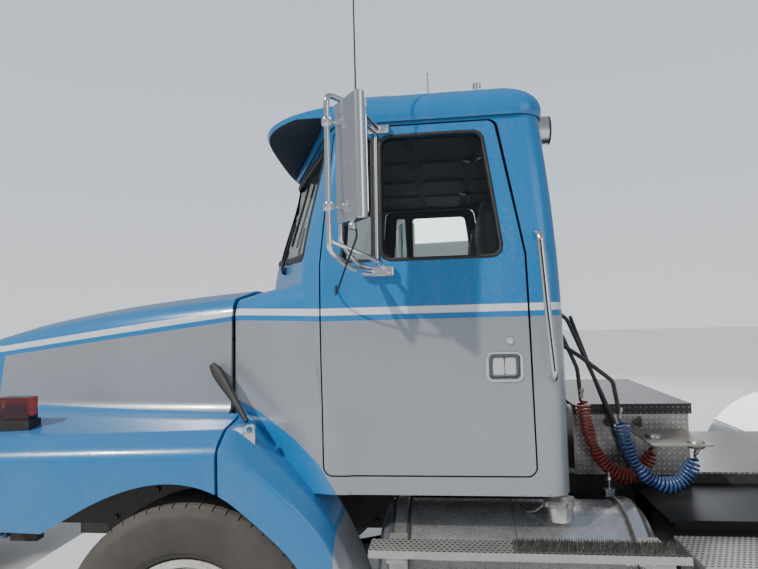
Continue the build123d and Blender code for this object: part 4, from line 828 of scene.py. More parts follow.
def inside(point, least):
    """A test for faces that look at a point, from at least this far along their normal."""
    return lambda m, n: ((np.array(point) - m) * n).sum(1) > least


door_inner_y = 1.035
lamp_split_x, lens_base_z = 2.9, 1.296
for node in ("cab_shell", "roof_cap"):
    repaint(node, liner, inside((1.0, 0.0, 1.72), 0.06))
for node in ("door_left", "door_right"):
    repaint(node, liner, lambda m, n: (n[:, 1] * np.sign(m[:, 1]) < -0.5) & (np.abs(m[:, 1]) < door_inner_y))
repaint("hood_shell", inner_black, inside((2.5, 0.0, 0.95), 0.10))
repaint("hood_lamps", lens_red, lambda m, n: (m[:, 0] < lamp_split_x) & (m[:, 2] > lens_base_z))
repaint("hood_lamps", seal_rubber, lambda m, n: (m[:, 0] < lamp_split_x) & (m[:, 2] <= lens_base_z))

# %% [markdown]
# Each air line is a round section carried along its coiled path.

# %% Air lines
for word, path in air_paths.items():
    hose = piece(f"curled_air_line_{word}", [swept(path, ring(hose_radius), up=hose_up)], hose_finish[word],
                 sharp=80, replaces=(f"air_line_{word}",))

# %% [markdown]
# Tyres show most of all on a truck seen from the side. A tyre is one section spun round the axle. The angle
# of each column and the width of each row are chosen at the edges of the grooves, so a groove is a plain
# dip in the radius and stays crisp with few faces. The steered tyres have running ribs, the driven ones
# have ribs cut across into blocks.

# %% Tyres
axle_height = tyre_radius = 0.505
front_axle_x, drive_axle_x = 1.975, (-1.325, -2.645)
tread_half, groove_deep, groove_wall, crown_drop = 0.108, 0.014, 0.0015, 0.006
cut_deep, cut_wall, cut_from, cut_ease = 0.8, 0.03, 0.02, 0.02  # of the cuts across the ribs
side_width = [-0.098, -0.101, -0.116, -0.1215, -0.126, -0.133, -0.1345, -0.131, -0.126, -0.1235, -0.116]
side_radius = [0.291, 0.304, 0.315, 0.330, 0.334, 0.372, 0.415, 0.452, 0.470, 0.473, 0.490]
rib_grooves = [(-0.074, 0.009), (-0.026, 0.010), (0.026, 0.010), (0.074, 0.009)]
block_grooves = [(-0.056, 0.011), (-0.019, 0.009), (0.019, 0.009), (0.056, 0.011)]


def tread_line(grooves):
    """Widths across the tread where the radius changes, with the depth at each: 0 on a rib, 1 in a groove."""
    width, low = [-tread_half], [0.0]
    for middle, wide in grooves:
        width += [middle - wide / 2 - groove_wall, middle - wide / 2, middle + wide / 2,
                  middle + wide / 2 + groove_wall]
        low += [0.0, 1.0, 1.0, 0.0]
    return np.array(width + [tread_half]), np.array(low + [0.0])


def tyre(centre_y, axle_x, grooves, pitches, cross_share, zigzag, skew):
    """A tyre: P = (r·cos t, w, r·sin t) about the axle. On the tread, r falls into grooves along and across."""
    width, low = tread_line(grooves)
    crown = tyre_radius - crown_drop * (width / tread_half) ** 2
    w = np.concatenate([side_width, width, -np.array(side_width[::-1])])
    r = np.concatenate([side_radius, crown, side_radius[::-1]])
    along, on_tread = (np.pad(row, len(side_width)) for row in (low, np.ones(len(width))))
    marks = np.array([0, cut_wall, cross_share, cross_share + cut_wall])
    t = ((np.arange(pitches)[:, None] + marks) / pitches * FULL_TURN).ravel()
    across = np.tile([0.0, 1.0, 1.0, 0.0], pitches)
    shoulder = on_tread * np.clip((np.abs(w) - cut_from) / cut_ease, 0, 1)
    dip = np.maximum(along[None] * on_tread, across[:, None] * shoulder[None] * cut_deep)
    sway = zigzag * np.sin(t * pitches / 2 + 0.4)[:, None] * np.exp(-((w / 0.09) ** 4))[None] * on_tread
    radius = r[None] - groove_deep * dip
    angle = t[:, None] + skew * np.abs(w)[None] * on_tread[None]
    P = np.stack([axle_x + radius * np.cos(angle), centre_y + (w[None] + sway),
                  axle_height + radius * np.sin(angle)], -1)
    return woven(P, wrap_u=True, wrap_v=True)


for word, side in SIDES:
    steer = tyre(side * 1.035, front_axle_x, rib_grooves, 60, 0.06, 0.0025, 0.0)
    piece(f"steer_tyre_{word}", [steer], tyre_rubber, f"front_wheel_{word}", 30, (f"front_tyre_{word}",))
    for number, axle_x in enumerate(drive_axle_x, start=1):
        pair = [tyre(side * y, axle_x, block_grooves, 44, 0.24, 0.002, 0.35) for y in (0.751, 1.084)]
        piece(f"drive_tyre_pair_{number}_{word}", pair, tyre_rubber, f"drive_wheel_{number}_{word}", 30,
              (f"drive_tyres_{number}_{word}",))

# %% [markdown]
# Ten nuts hold each wheel. A nut is a hexagon raised through a few levels with a flange below and the stud's
# end standing out of it. The front hubs carry an oil cap, the drive hubs the flange of the axle shaft.

# %% Wheel nuts and hub caps
hexagon = ring(1, 6)


def nut(across, high, stud=0.0):
    """A flanged hex nut standing on its face along +z, with the end of its stud."""
    half = across / math.sqrt(3)
    washer = half * 1.35
    head = raised(stepped(hexagon * half, 24, closed=True), [(0, 0), (0, high * 0.85), (half * 0.14, high)])
    forms = [head, turned([(0, 0), (washer, 0), (washer, high * 0.12), (half, high * 0.22), (0, high * 0.22)], 16)]
    if stud:
        forms.append(turned([(0, high * 0.5), (stud, high * 0.5), (stud, high * 1.5), (stud * 0.8, high * 1.6),
                             (0, high * 1.6)], 10))
    return joined(forms)


def on_circle(centre, radius, angles, out=0.0):
    """Points on an upright circle round an axle, moved out along it."""
    return centre + np.column_stack([radius * np.cos(angles), np.full(len(angles), out), radius * np.sin(angles)])


beside_wheel_y = 1.5
stud_ring, stud_turn = 0.1428, round_about(10) + 0.31
oil_cap = [(0, 0), (0.066, 0), (0.068, 0.010), (0.058, 0.014), (0.054, 0.040), (0.046, 0.050), (0.018, 0.053),
           (0.014, 0.060), (0, 0.061)]
shaft_flange = [(0, 0), (0.079, 0), (0.079, 0.014), (0.060, 0.018), (0.046, 0.034), (0.030, 0.040), (0, 0.041)]
front_hub = (oil_cap, nut(0.013, 0.006), 0.061, 0.010, round_about(6))
drive_hub = (shaft_flange, nut(0.019, 0.012, 0.007), 0.069, 0.014, round_about(6) + 0.2)
hubs = [("front_rim", front_axle_x, "front_wheel", front_hub)] + [
    (f"drive_rims_{n}", x, f"drive_wheel_{n}", drive_hub) for n, x in enumerate(drive_axle_x, start=1)]
for word, side in SIDES:
    for wheel, axle_x, body, (profile, bolt, bolt_ring, out, angles) in hubs:
        rim, axle = f"{wheel}_{word}", np.array([axle_x, 0, axle_height])
        start = side * beside_wheel_y
        seats, _ = seats_on(rim, 1, start, -side, on_circle(axle, stud_ring, stud_turn)[:, ::2])
        hub_seat, _ = seats_on(rim, 1, start, -side, [(axle_x + 0.03, axle_height)])
        face = hub_seat[0] * Y + axle
        piece(f"{wheel}_nuts_{word}", [standing(nut(0.033, 0.024, 0.011), seats, side * Y),
                                       turned(profile, 36, face, side * Y),
                                       standing(bolt, on_circle(face, bolt_ring, angles, side * out), side * Y)],
              bolt_steel, f"{body}_{word}")

# %% [markdown]
# The cab's windows sit in rubber. A gasket is a flat, rounded section swept along the opening's outline. To
# lie on the curved body, each point of the outline is dropped straight onto the solid beside the opening,
# and the section stands along the normal found there.

# %% Window gaskets
outside_y, in_cab_y, ahead_x, behind_x = 1.4, 0.6, 2.3, 0.2


def gasket(node, axis, start, way, outline, count, grow_by, wide, thick):
    """A flat, rounded section round a slightly enlarged outline, laid on a solid along its normals."""
    flat = stepped(outline, count, closed=True)
    points, normals = seats_on(node, axis, start, way, flat + grow_by * unit(flat - flat.mean(0)))
    return swept(points, ring(wide / 2, 8, thick / wide), up=normals, closed=True)


# The outlines are x and z on the doors, y and z on the screens.
window_outline = rounded_loop([(1.238, 1.888), (1.238, 2.372), (0.850, 2.372), (0.790, 1.888)], 0.034)
vent_outline = rounded_loop([(1.392, 1.888), (1.352, 2.372), (1.272, 2.372), (1.272, 1.888)], 0.014)
screen_outline = rounded_loop([(0.026, 1.985), (0.026, 2.395), (0.868, 2.368), (0.915, 1.925)], 0.02)
rear_outline = rounded_loop([(0.56, 1.9), (0.56, 2.31), (-0.56, 2.31), (-0.56, 1.9)], 0.06)
for word, side in SIDES:
    door = f"door_{word}"
    rims = [gasket(door, 1, side * outside_y, -side, window_outline, 72, 0.002, 0.014, 0.008),
            gasket(door, 1, side * outside_y, -side, vent_outline, 48, 0.002, 0.012, 0.007)]
    rims += [gasket(door, 1, side * in_cab_y, side, outline, count, 0.006, 0.026, 0.012)
             for outline, count in ((window_outline, 72), (vent_outline, 48))]
    piece(f"door_window_rubber_{word}", rims, seal_rubber, door, 60)
screens = [gasket("cab_shell", 0, start, way, outline, 90, 0.010, 0.034, 0.012) for start, way, outline in (
    (ahead_x, -1, screen_outline), (ahead_x, -1, screen_outline * (-1, 1)), (behind_x, 1, rear_outline))]
piece("screen_rubbers", screens, seal_rubber, sharp=60)

# %% [markdown]
# A hollow rubber seal runs round each door opening, in the gap behind the door's edge, and a metal bar divides
# the door's two panes.

# %% Door seals and division bars
level_z, level_y = [1.020, 1.450, 1.850, 2.150, 2.430], [1.058, 1.062, 1.052, 1.020, 0.985]
seal_gap, seal_depth = 0.009, 0.021
door_edge = rounded_loop([(1.479, 1.085), (1.479, 1.880), (1.424, 2.418), (0.790, 2.418), (0.705, 1.890),
                          (0.695, 1.085)], 0.038)
seal_line = stepped(door_edge, 140, closed=True)
seal_run = unit(np.roll(seal_line, -1, 0) - np.roll(seal_line, 1, 0))
seal_line = seal_line + seal_gap * np.column_stack([-seal_run[:, 1], seal_run[:, 0]])
seal_points = np.insert(seal_line, 1, np.interp(seal_line[:, 1], level_z, level_y) - seal_depth, axis=1)
seal = swept(seal_points, ring(0.0065, 10), up=Y, closed=True)
piece("door_seals", [seal, mirrored(seal)], seal_rubber, sharp=60)
bar_line = [(1.255, z) for z in np.linspace(1.886, 2.374, 12)]
for word, side in SIDES:
    spots, ways = seats_on(f"door_{word}", 1, side * outside_y, -side, bar_line)
    piece(f"division_bar_{word}", [swept(spots, ring(0.0155, 8, 0.22), up=ways)], seal_rubber, f"door_{word}",
          60)
    piece(f"division_trim_{word}", [swept(spots + ways * 0.002, ring(0.006, 8, 0.5), up=ways)], stainless,
          f"door_{word}", 60)

# %% [markdown]
# A truck mirror hangs on a loop of tube bolted to the door at two brackets. Its head is a flat stainless case,
# turned so that the glass faces the rear and a little inwards, and the camera sees the case's back at a low
# angle. The whole unit is made anew here: tubes swept along smooth lines, a case raised from an outline whose
# narrow edges are almost half round, clamps, straps to the head, and a black cable to the head's heater.

# %% Mirrors
head_turn = math.radians(-55)
slant = (0.3, 0.1, 0.05)
mirror_lines = [  # points on the left side, how many along the line, radius, points round it, up
    ([(1.240, 1.000, 2.400), (1.300, 1.180, 2.432), (1.385, 1.290, 2.440), (1.385, 1.300, 1.900),
      (1.330, 1.200, 1.846), (1.262, 1.062, 1.842)], 90, 0.0105, 12, slant),
    ([(1.250, 1.000, 2.384), (1.300, 1.200, 2.392), (1.352, 1.262, 2.380), (1.352, 1.268, 1.930),
      (1.310, 1.180, 1.862), (1.275, 1.070, 1.856)], 90, 0.008, 10, slant),
    ([(1.385, 1.300, 1.935), (1.300, 1.240, 1.900), (1.235, 1.150, 1.870), (1.222, 1.068, 1.850)], 40, 0.008, 10,
     (0.1, 0.2, 1)),
]
cable_points = np.array([(1.292, 1.325, 1.984), (1.285, 1.320, 1.945), (1.325, 1.260, 1.880),
                         (1.375, 1.170, 1.800), (1.405, 1.100, 1.757), (1.412, 1.072, 1.764),
                         (1.412, 1.056, 1.795)])
collar = [(0, -0.014), (0.016, -0.014), (0.018, -0.010), (0.018, 0.010), (0.016, 0.014), (0, 0.014)]
case_levels, case_half = [(0.004, 0), (0, 0.004), (0, 0.410), (0.004, 0.414)], 0.0208
whip_base = (1.300, 1.180, 2.418)
whip_socket = [(0, 0), (0.014, 0), (0.014, 0.052), (0.008, 0.062), (0, 0.062)]
whip_line = [(0, 0.050), (0.0032, 0.050), (0.0028, 0.400), (0.0018, 1.132), (0, 1.132)]
for word, side in SIDES:
    door, flip, out_way = f"door_{word}", np.array([1, side, 1]), side * Y
    head_long = np.array([math.cos(head_turn), side * math.sin(head_turn), 0])
    head_wide = np.cross(Z, head_long)
    back_way = side * head_wide
    middle = np.array([1.300, side * 1.330, 1.990])
    case = raised(box_loop(0.178, 0.042, 0.0195), case_levels, middle, head_long, head_wide)
    disc = turned([(0, 0), (0.011, 0), (0.010, 0.003), (0, 0.004)], 24,
                  middle + back_way * case_half + Z * 0.060, back_way)
    glass = slab((0.150, 0.380, 0.004), middle - back_way * case_half + Z * 0.207,
                 np.cross(Z, -back_way), Z, 0.012, 0.001)
    tubes = [swept(smooth_line(np.array(points) * flip, count), ring(radius, steps), up=way)
             for points, count, radius, steps, way in mirror_lines]
    clamps = []
    for z in (2.050, 2.340):
        clamp = np.array([1.385, side * 1.297, z])
        strap_end = middle * (1, 1, 0) + head_long * 0.060 - back_way * 0.020 + (0, 0, z)
        tubes.append(swept([clamp, 0.5 * (clamp + strap_end), strap_end], ring(0.007, 10)))
        clamps += [turned(collar, 20, clamp),
                   slab((0.036, 0.024, 0.012), clamp + (-0.018, -side * 0.012, -0.006), (1, 0.8 * side, 0),
                        (-0.8 * side, 1, 0)),
                   standing(nut(0.011, 0.007, 0.003), [clamp + out_way * 0.017], out_way)]
    clamps.append(turned([(0, 0), (0.013, 0), (0.013, 0.016), (0.006, 0.026), (0, 0.026)], 16, middle - Z * 0.024))
    clamps.append(slab((0.120, 0.024, 0.036), (1.250, side * 1.068, 1.824), corner=0.006, edge=0.004))
    clamps.append(slab((0.084, 0.024, 0.032), (1.243, side * 0.998, 2.384), corner=0.006, edge=0.004))
    bracket_nuts = [(1.208, side * 1.081, 1.842), (1.298, side * 1.081, 1.842), (1.212, side * 1.011, 2.400),
                    (1.272, side * 1.011, 2.400)]
    clamps.append(standing(nut(0.012, 0.007, 0.003), bracket_nuts, out_way))
    if word == "left":
        clamps.append(turned(whip_socket, 16, whip_base))
        piece("whip_aerial", [turned(whip_line, 10, whip_base)], hose_black, door)
    piece(f"mirror_case_{word}", [case, disc], stainless, door, 30, (f"mirror_{word}",))
    piece(f"mirror_glass_{word}", [glass], mirror_face, door, 30)
    piece(f"mirror_tubes_{word}", tubes, chrome, door, 60)
    piece(f"mirror_clamps_{word}", clamps, chrome, door, 40)
    cable = swept(smooth_line(cable_points * flip, 60, 6), ring(0.0035), up=(0.2, 0.1, 1))
    piece(f"mirror_cable_{word}", [cable], seal_rubber, door)

# %% [markdown]
# The door handle is a bright frame with a split paddle over a dark pocket, and a key lock behind it. They are
# small forms raised from rounded outlines and set on the door's face.

# %% Door handles
handle_x, handle_z = 0.800, 1.483
lock_profile = [(0, 0), (0.014, 0), (0.015, 0.003), (0.012, 0.006), (0.010, 0.006), (0.009, 0.004), (0, 0.004)]
for word, side in SIDES:
    door, out_way, across_way = f"door_{word}", side * Y, side * X
    face, _ = seats_on(door, 1, side * outside_y, -side, [(handle_x, 1.477), (0.778, 1.576), (handle_x, 1.5335)])
    band = np.column_stack([stepped(box_loop(0.122, 0.100, 0.020), 64, closed=True), np.zeros(64)])
    bezel_line = placed(band, (handle_x, face[2][1], handle_z), across_way, -Z)
    bezel = swept(bezel_line, ring(0.006, 8, 0.007 / 0.012), up=out_way, closed=True)
    paddle_seat = np.array([handle_x, face[0][1], handle_z])
    paddles = [slab((0.040, 0.062, 0.007), paddle_seat + 0.021 * s * X, across_way, -Z, 0.008, 0.002)
               for s in (1, -1)]
    piece(f"door_handle_{word}", [bezel, turned(lock_profile, 24, face[1], out_way)] + paddles, chrome, door,
          40)

# %% [markdown]
# Each tank is held by two bright straps over a strip of rubber, drawn tight by a bolt, and its ends are
# welded on. Straps and seams are narrow sections carried round the tank's circle.

# %% Tank straps, seams and caps
tank_y, tank_z, tank_radius = 0.800, 0.605, 0.310
strap_x, seam_rows = (0.335, 1.200), ((0.3050, 0.012, 0.003), (1.2400, 0.012, 0.003), (0.772, 0.008, 0.002))
turn_round = round_about(96)
out_from_tank = np.column_stack([np.zeros(len(turn_round)), np.cos(turn_round), np.sin(turn_round)])


def round_tank(x, side, radius, wide, thick):
    """A band round a tank: a flat section carried round the circle (cos t, sin t) at x."""
    section = [(-wide / 2, 0), (-wide / 2 + thick, thick), (wide / 2 - thick, thick), (wide / 2, 0)]
    circle = np.array([x, side * tank_y, tank_z]) + radius * out_from_tank
    return swept(circle, section, up=out_from_tank, closed=True)


def moved(shape, offset):
    """The same form moved by an offset."""
    return shape[0] + offset, shape[1]


seams, straps, liners, caps = [], [], [], []
cap_profile = [(0, 0), (0.056, 0), (0.058, 0.006), (0.058, 0.018), (0.052, 0.026), (0.030, 0.031), (0, 0.032)]
for side in (1, -1):
    seams += [round_tank(x, side, tank_radius - 0.001, wide, thick) for x, wide, thick in seam_rows]
    liners += [round_tank(x, side, tank_radius + 0.007, 0.070, 0.003) for x in strap_x]
    straps += [round_tank(x, side, tank_radius + 0.010, 0.050, 0.004) for x in strap_x]
    for x in strap_x:
        bolt_seat = np.array([x, side * (tank_y - 0.21), tank_z + 0.255])
        straps += [slab((0.044, 0.030, 0.050), bolt_seat, corner=0.006, edge=0.002),
                   turned([(0, 0), (0.006, 0), (0.006, 0.110), (0, 0.110)], 12, bolt_seat + Z * 0.01),
                   moved(nut(0.019, 0.014), bolt_seat + Z * 0.085)]
    cap_seat = np.array([0.600, side * (tank_y + 0.090), 0.937])
    caps.append(turned(cap_profile, 40, cap_seat))
    for a in round_about(4) + 0.5:
        out_way = np.array([math.cos(a), math.sin(a), 0])
        caps.append(slab((0.016, 0.022, 0.020), cap_seat + 0.060 * out_way + 0.002 * Z, out_way,
                         np.cross(Z, out_way), 0.004, 0.002))
    caps.append(slab((0.078, 0.012, 0.012), cap_seat + Z * 0.030, (1, 0.4, 0), (-0.4, 1, 0), 0.005, 0.003))
    chain = [(0.655, side * 0.905, 0.945), (0.690, side * 0.900, 0.915), (0.720, side * 0.880, 0.905)]
    caps.append(swept(stepped(chain, 14), ring(0.0035, 6)))
piece("tank_seams", seams, bright_aluminium)
piece("tank_strap_rubber", liners, seal_rubber)
piece("tank_straps", straps, stainless)
piece("tank_caps", caps, dull_aluminium)

# %% [markdown]
# The two seats are foam under vinyl. A cushion is a superellipsoid, a box whose corners are swollen round, with
# channels pressed into its top: it is lowered along narrow valleys at even steps across the cushion. Each seat
# stands on a pedestal with a folded skirt that hides its air spring.

# %% Seats
up_power, round_power, top_power = 0.30, 0.28, 0.45
valley_sharp, channelled_share = 9, 0.36


def soft(value, power):
    """A value raised to a power, with its sign kept."""
    return np.sign(value) * np.abs(value) ** power


def cushion(size, origin, x=X, y=Y, channels=5, deep=0.012, steps=56):
    """A stuffed box: P = (a·C(u)·C(v), b·C(u)·S(v), c·S(u)), C and S being cos and sin to a small power."""
    u = np.linspace(-np.pi / 2, np.pi / 2, steps)[:, None]
    v = round_about(2 * steps)[None]
    round_up = soft(np.cos(u), up_power)
    a = size[0] / 2 * round_up * soft(np.cos(v), round_power)
    b = size[1] / 2 * round_up * soft(np.sin(v), round_power)
    top = soft(np.sin(u), top_power) * np.ones_like(v)
    from_valley = np.mod(b / size[1] * channels + 0.5, 1) - 0.5
    press = np.exp(-(from_valley * valley_sharp) ** 2) * (np.abs(b) < size[1] * channelled_share)
    c = size[2] / 2 * (1 + top) - deep * press * (top > 0.2)
    return woven(placed(np.stack([a, b, c], -1), origin, x, y), wrap_v=True)


seat_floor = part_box("seats")[0][2]
fold_in, fold_high = 0.012, 0.028
folds = [(0, 0)] + [(fold_in * (n % 2), 0.02 + fold_high * n) for n in range(9)]
for word, side in SIDES:
    y = side * 0.480
    sits = [cushion((0.500, 0.500, 0.130), (0.980, y, 1.465)),
            cushion((0.452, 0.560, 0.150), (0.705, y, 1.870), Y, Z),
            cushion((0.270, 0.110, 0.100), (0.735, y, 2.130), Y, Z, channels=1, deep=0.0, steps=24)]
    pads = piece(f"seat_cushions_{word}", sits, seat_vinyl, sharp=70, replaces=("seats",))
    base = raised(box_loop(0.340, 0.330, 0.05), folds, (0.960, y, seat_floor))
    pan = slab((0.470, 0.450, 0.020), (0.970, y, 1.450), corner=0.04)
    hinges = [turned([(0, 0), (0.032, 0), (0.032, 0.020), (0, 0.020)], 24, (0.735, y + s * 0.205, 1.560), s * Y)
              for s in (1, -1)]
    piece(f"seat_base_{word}", [base, pan] + hinges, trim_plastic, sharp=40)

# %% [markdown]
# The plates under the doors are stamped with rows of small holes for grip. A stamped hole is too small to cut,
# so a group works out a dot pattern from Object coordinates. Each hole is painted near-black as painted shade seen
# through it, and dents the plate's normal.
# A strip of each plate carries a mat of short black bristles: each is a thin spike leaning its own way.


# %% Step plates and mats
@effect({"Dot": "Float"}, Pitch=0.019)
def dot_plate(tree, given):
    """Dot is 1 inside circles about the middles of cells, every second row of cells being shifted by half."""
    place = split(here(tree))
    row = over(place["Y"], given["Pitch"])
    odd = maths("MODULO", maths("ABSOLUTE", maths("FLOOR", row)), 2.0)
    column = plus(over(place["X"], given["Pitch"]), times(odd, 0.5))
    squares = [power(minus(maths("FRACT", way), 0.5), 2.0) for way in (column, row)]
    return [span(maths("SQRT", plus(*squares)), 0.30, 0.24)]


tread_inner_y = 0.935
step_plate, tree = blank("step_plate")
hole_shade_dots = times(use(tree, dot_plate, Pitch=0.019)[0], span(looking(tree)["Z"], 0.6, 0.8))
lid_part = span(maths("ABSOLUTE", split(here(tree))["Y"]), tread_inner_y + 0.002, tread_inner_y)
# Painted shade: each hole is made near-black for the shade seen through it, and the part inboard of tread_inner_y
# is near-black as well.
dark = larger(hole_shade_dots, lid_part)
settled = use(tree, road_dust, Amount=0.45, Low=0.4, High=1.6)[0]
tone = use(tree, mottle, Colour=(0.55, 0.55, 0.54, 1), Other=(0.38, 0.37, 0.35, 1), Scale=8.0, Spread=0.7)[0]
shaded(tree, Base_Color=blend_colour(dark, blend_colour(settled, tone, dust_colour), (0.02, 0.02, 0.02, 1)),
       Normal=bumped(minus(1.0, dark), 0.8, 0.002), Roughness=larger(settled, 0.42, True),
       Metallic=times(minus(0.9, settled), 1.0, True))
for node in ("tank_steps", "battery_box"):
    skin[node].data.materials[0] = step_plate

draw = np.random.default_rng(7)
mat_x, mat_y = np.meshgrid(np.linspace(0.262, 0.800, 84), np.linspace(1.136, 1.222, 14), indexing="ij")
roots = np.column_stack([mat_x.ravel(), mat_y.ravel(), np.full(mat_x.size, 0.890)])
spike = np.array([(0.0028, 0, 0), (-0.0014, 0.0024, 0), (-0.0014, -0.0024, 0), (0, 0, 0.019)])
spike_faces = np.array([(0, 2, 1), (0, 1, 3), (1, 2, 3), (2, 0, 3)])
bristle_points = roots[:, None] + spike
bristle_points[:, 3, :2] += draw.normal(0, 0.0035, (len(roots), 2))
bristle_faces = np.arange(len(roots))[:, None, None] * len(spike) + spike_faces
mat = [slab((0.550, 0.094, 0.005), (0.531, 1.179, 0.889), corner=0.008),
       (bristle_points.reshape(-1, 3), bristle_faces.reshape(-1, 3))]
piece("step_mat_left", mat, hose_black, sharp=30)
piece("step_mat_right", [mirrored(form) for form in mat], hose_black, sharp=30)

# %% [markdown]
# Each windscreen pane has a wiper: a pivot on the cowl, an arm and a blade. The glass leans and bends, so the
# blade follows points where straight lines meet it, and the pivot stands on the cab along its normal.

# %% Wipers
before_cab_x, before_glass_x, pivot_y = 2.4, 2.6, 0.43
wiper_forms = []
for side in (1, -1):
    (pivot,), (way,) = seats_on("cab_shell", 0, before_cab_x, -1, [(side * pivot_y, 1.905)])
    blade = [(side * pivot_y + side * dy, z) for dy, z in ((0.02, 2.02), (0.03, 2.12), (0.04, 2.22), (0.05, 2.32))]
    spots, ways = seats_on("cab_glass", 0, before_glass_x, -1, blade)
    arm = [pivot + way * 0.022, spots[0] + ways[0] * 0.030, spots[1] + ways[1] * 0.026]
    wiper_forms += [turned([(0, 0), (0.020, 0), (0.018, 0.016), (0.010, 0.022), (0, 0.022)], 20, pivot, way),
                    swept(stepped(spots + ways * 0.012, 24), ring(0.006), up=X),
                    swept(stepped(arm, 20), ring(0.0065), up=X)]
piece("wipers", wiper_forms, seal_rubber)

# %% [markdown]
# Black service hoses run from the cab's rear corner down to the post, and each curled line ends in a coupling
# head parked on the post's bracket. A hose is a round section swept along a smooth line.

# %% Service hoses
black_lines = [
    [(0.560, 0.560, 1.700), (0.470, 0.530, 1.640), (0.400, 0.500, 1.480), (0.330, 0.520, 1.300),
     (0.300, 0.600, 1.180)],
    [(0.565, 0.600, 1.650), (0.500, 0.580, 1.560), (0.440, 0.560, 1.420), (0.430, 0.560, 1.290)],
    [(0.560, 0.640, 1.560), (0.450, 0.690, 1.480), (0.330, 0.700, 1.380), (0.300, 0.668, 1.240)],
]
fitting = [(0, -0.010), (0.008, -0.010), (0.010, -0.004), (0.010, 0.016), (0.013, 0.018), (0.013, 0.034),
           (0.008, 0.036), (0, 0.036)]
black_hoses = [swept(smooth_line(points), ring(0.009), up=(0, 1, 0.1)) for points in black_lines]
piece("service_hoses", black_hoses, hose_black)
ends = [turned(fitting, 16, end, unit(end - inner)) for path in air_paths.values()
        for end, inner in ((path[0], path[6]), (path[-1], path[-7]))]
piece("air_line_fittings", ends, bolt_steel)

# %% [markdown]
# Each headlamp opening holds two round lamps. A lamp is a bright reflecting disc with a domed, fluted glass
# over it and a chrome rim round that. Profiles of (radius, height) are spun about the lamp's axis.

# %% Headlamps
rim_profile = [(0.056, 0.0), (0.070, 0.0), (0.070, 0.006), (0.062, 0.012), (0.056, 0.010), (0.056, 0.0)]
bowl_profile = [(0, 0), (0.055, 0), (0.055, 0.003), (0, 0.002)]
glass_profile = [(0, 0.0042), (0.054, 0.0042), (0.054, 0.009), (0.030, 0.014), (0, 0.016)]
before_nose_x, lamp_places = 3.6, [(side * y, 1.000) for side in (1, -1) for y in (0.735, 0.885)]
spots, _ = seats_on("hood_lamps", 0, before_nose_x, -1, lamp_places)
bowls, rims, glasses = ([turned(profile, steps, spot + X * 0.004, X) for spot in spots]
                        for profile, steps in ((bowl_profile, 32), (rim_profile, 40), (glass_profile, 32)))
piece("headlamp_bowls", bowls, mirror_face, "hood", 40)
piece("headlamp_rims", rims, chrome, "hood", 40)
piece("headlamp_glasses", glasses, lens_clear, "hood", 40)

# %% [markdown]
# The bumper is held by round-headed bolts and carries a blank plate holder. The rails of the chassis show rows
# of bolts where brackets join them. Many equal bolts are one form copied to an array of places.


# %% Bolts and brackets
def button_head(radius, high):
    """A round bolt head standing on its face: a low dome."""
    return turned([(0, 0), (radius, 0), (radius * 0.94, high * 0.45), (radius * 0.7, high * 0.82),
                   (radius * 0.35, high * 0.97), (0, high)], 16)


before_bumper_x, beside_rail_y, behind_flaps_x = 4.2, 0.62, -3.6
bumper_spots = [(y * s, z) for s in (1, -1) for y in (0.36, 0.44) for z in (0.40, 0.52)]
bumper_bolts = standing(button_head(0.013, 0.008), *seats_on("bumper", 0, before_bumper_x, -1, bumper_spots))
plate_spot, _ = seats_on("bumper", 0, before_bumper_x, -1, [(0.0, 0.46)])
piece("bumper_bolts", [bumper_bolts], bolt_steel)
piece("blank_plate_holder", [slab((0.310, 0.155, 0.004), plate_spot[0], Y, Z, 0.010)], trim_plastic)

rail_bolts, flap_bolts = [], []
rail_x = np.concatenate([np.arange(-3.20, -0.5, 0.16), np.arange(-0.40, 2.9, 0.22)])
for side in (1, -1):
    for z in (0.700, 0.840):
        spots, ways = seats_on("frame", 1, side * beside_rail_y, -side, [(x, z) for x in rail_x])
        on_web = np.abs(ways[:, 1]) > 0.9
        rail_bolts.append(standing(nut(0.024, 0.012), spots[on_web], ways[on_web]))
    flap_spots = [(side * y, 0.845) for y in np.linspace(0.665, 1.165, 5)]
    flap_seats = seats_on("mudflaps", 0, behind_flaps_x, 1, flap_spots)
    flap_bolts.append(standing(button_head(0.012, 0.008), *flap_seats))
bars = [slab((0.590, 0.040, 0.006), (-3.2665, side * 0.915, 0.845), -Y, Z, 0.006) for side in (1, -1)]
piece("rail_bolts", rail_bolts, frame_black, sharp=30)
piece("mudflap_bars", bars, stainless)
piece("mudflap_bolts", flap_bolts, bolt_steel)

# %% [markdown]
# Round lenses stand on the tail bar: stop lamps in red and turn lamps in amber, each with a rubber ring. The
# work lights on the cab's rear corners get a fluted glass and a rim.

# %% Rear lamps
tail_ring = [(0.046, -0.001), (0.056, -0.001), (0.055, 0.006), (0.049, 0.009), (0.046, 0.006), (0.046, -0.001)]
tail_lens = [(0, 0), (0.047, 0), (0.046, 0.007), (0.034, 0.012), (0, 0.014)]
work_ring = [(0.049, -0.001), (0.059, -0.001), (0.058, 0.008), (0.051, 0.010), (0.049, 0.006), (0.049, -0.001)]
work_lens = [(0, 0), (0.050, 0), (0.048, 0.006), (0.030, 0.011), (0, 0.013)]
behind_tail_x = -3.8
rings, reds, ambers, whites = [], [], [], []
for side in (1, -1):
    tail_seats, _ = seats_on("tail_lamps", 0, behind_tail_x, 1, [(side * 0.415, 0.790), (side * 0.540, 0.790)])
    work_seats, _ = seats_on("roof_fittings", 0, behind_x, 1, [(side * 0.750, 2.430)])
    for kind, seat, ring_profile, lens_profile in ((reds, tail_seats[0], tail_ring, tail_lens),
                                                   (ambers, tail_seats[1], tail_ring, tail_lens),
                                                   (whites, work_seats[0], work_ring, work_lens)):
        rings.append(turned(ring_profile, 32, seat, -X))
        kind.append(turned(lens_profile, 32, seat, -X))
piece("lamp_rings", rings, seal_rubber)
piece("stop_lenses", reds, lens_red)
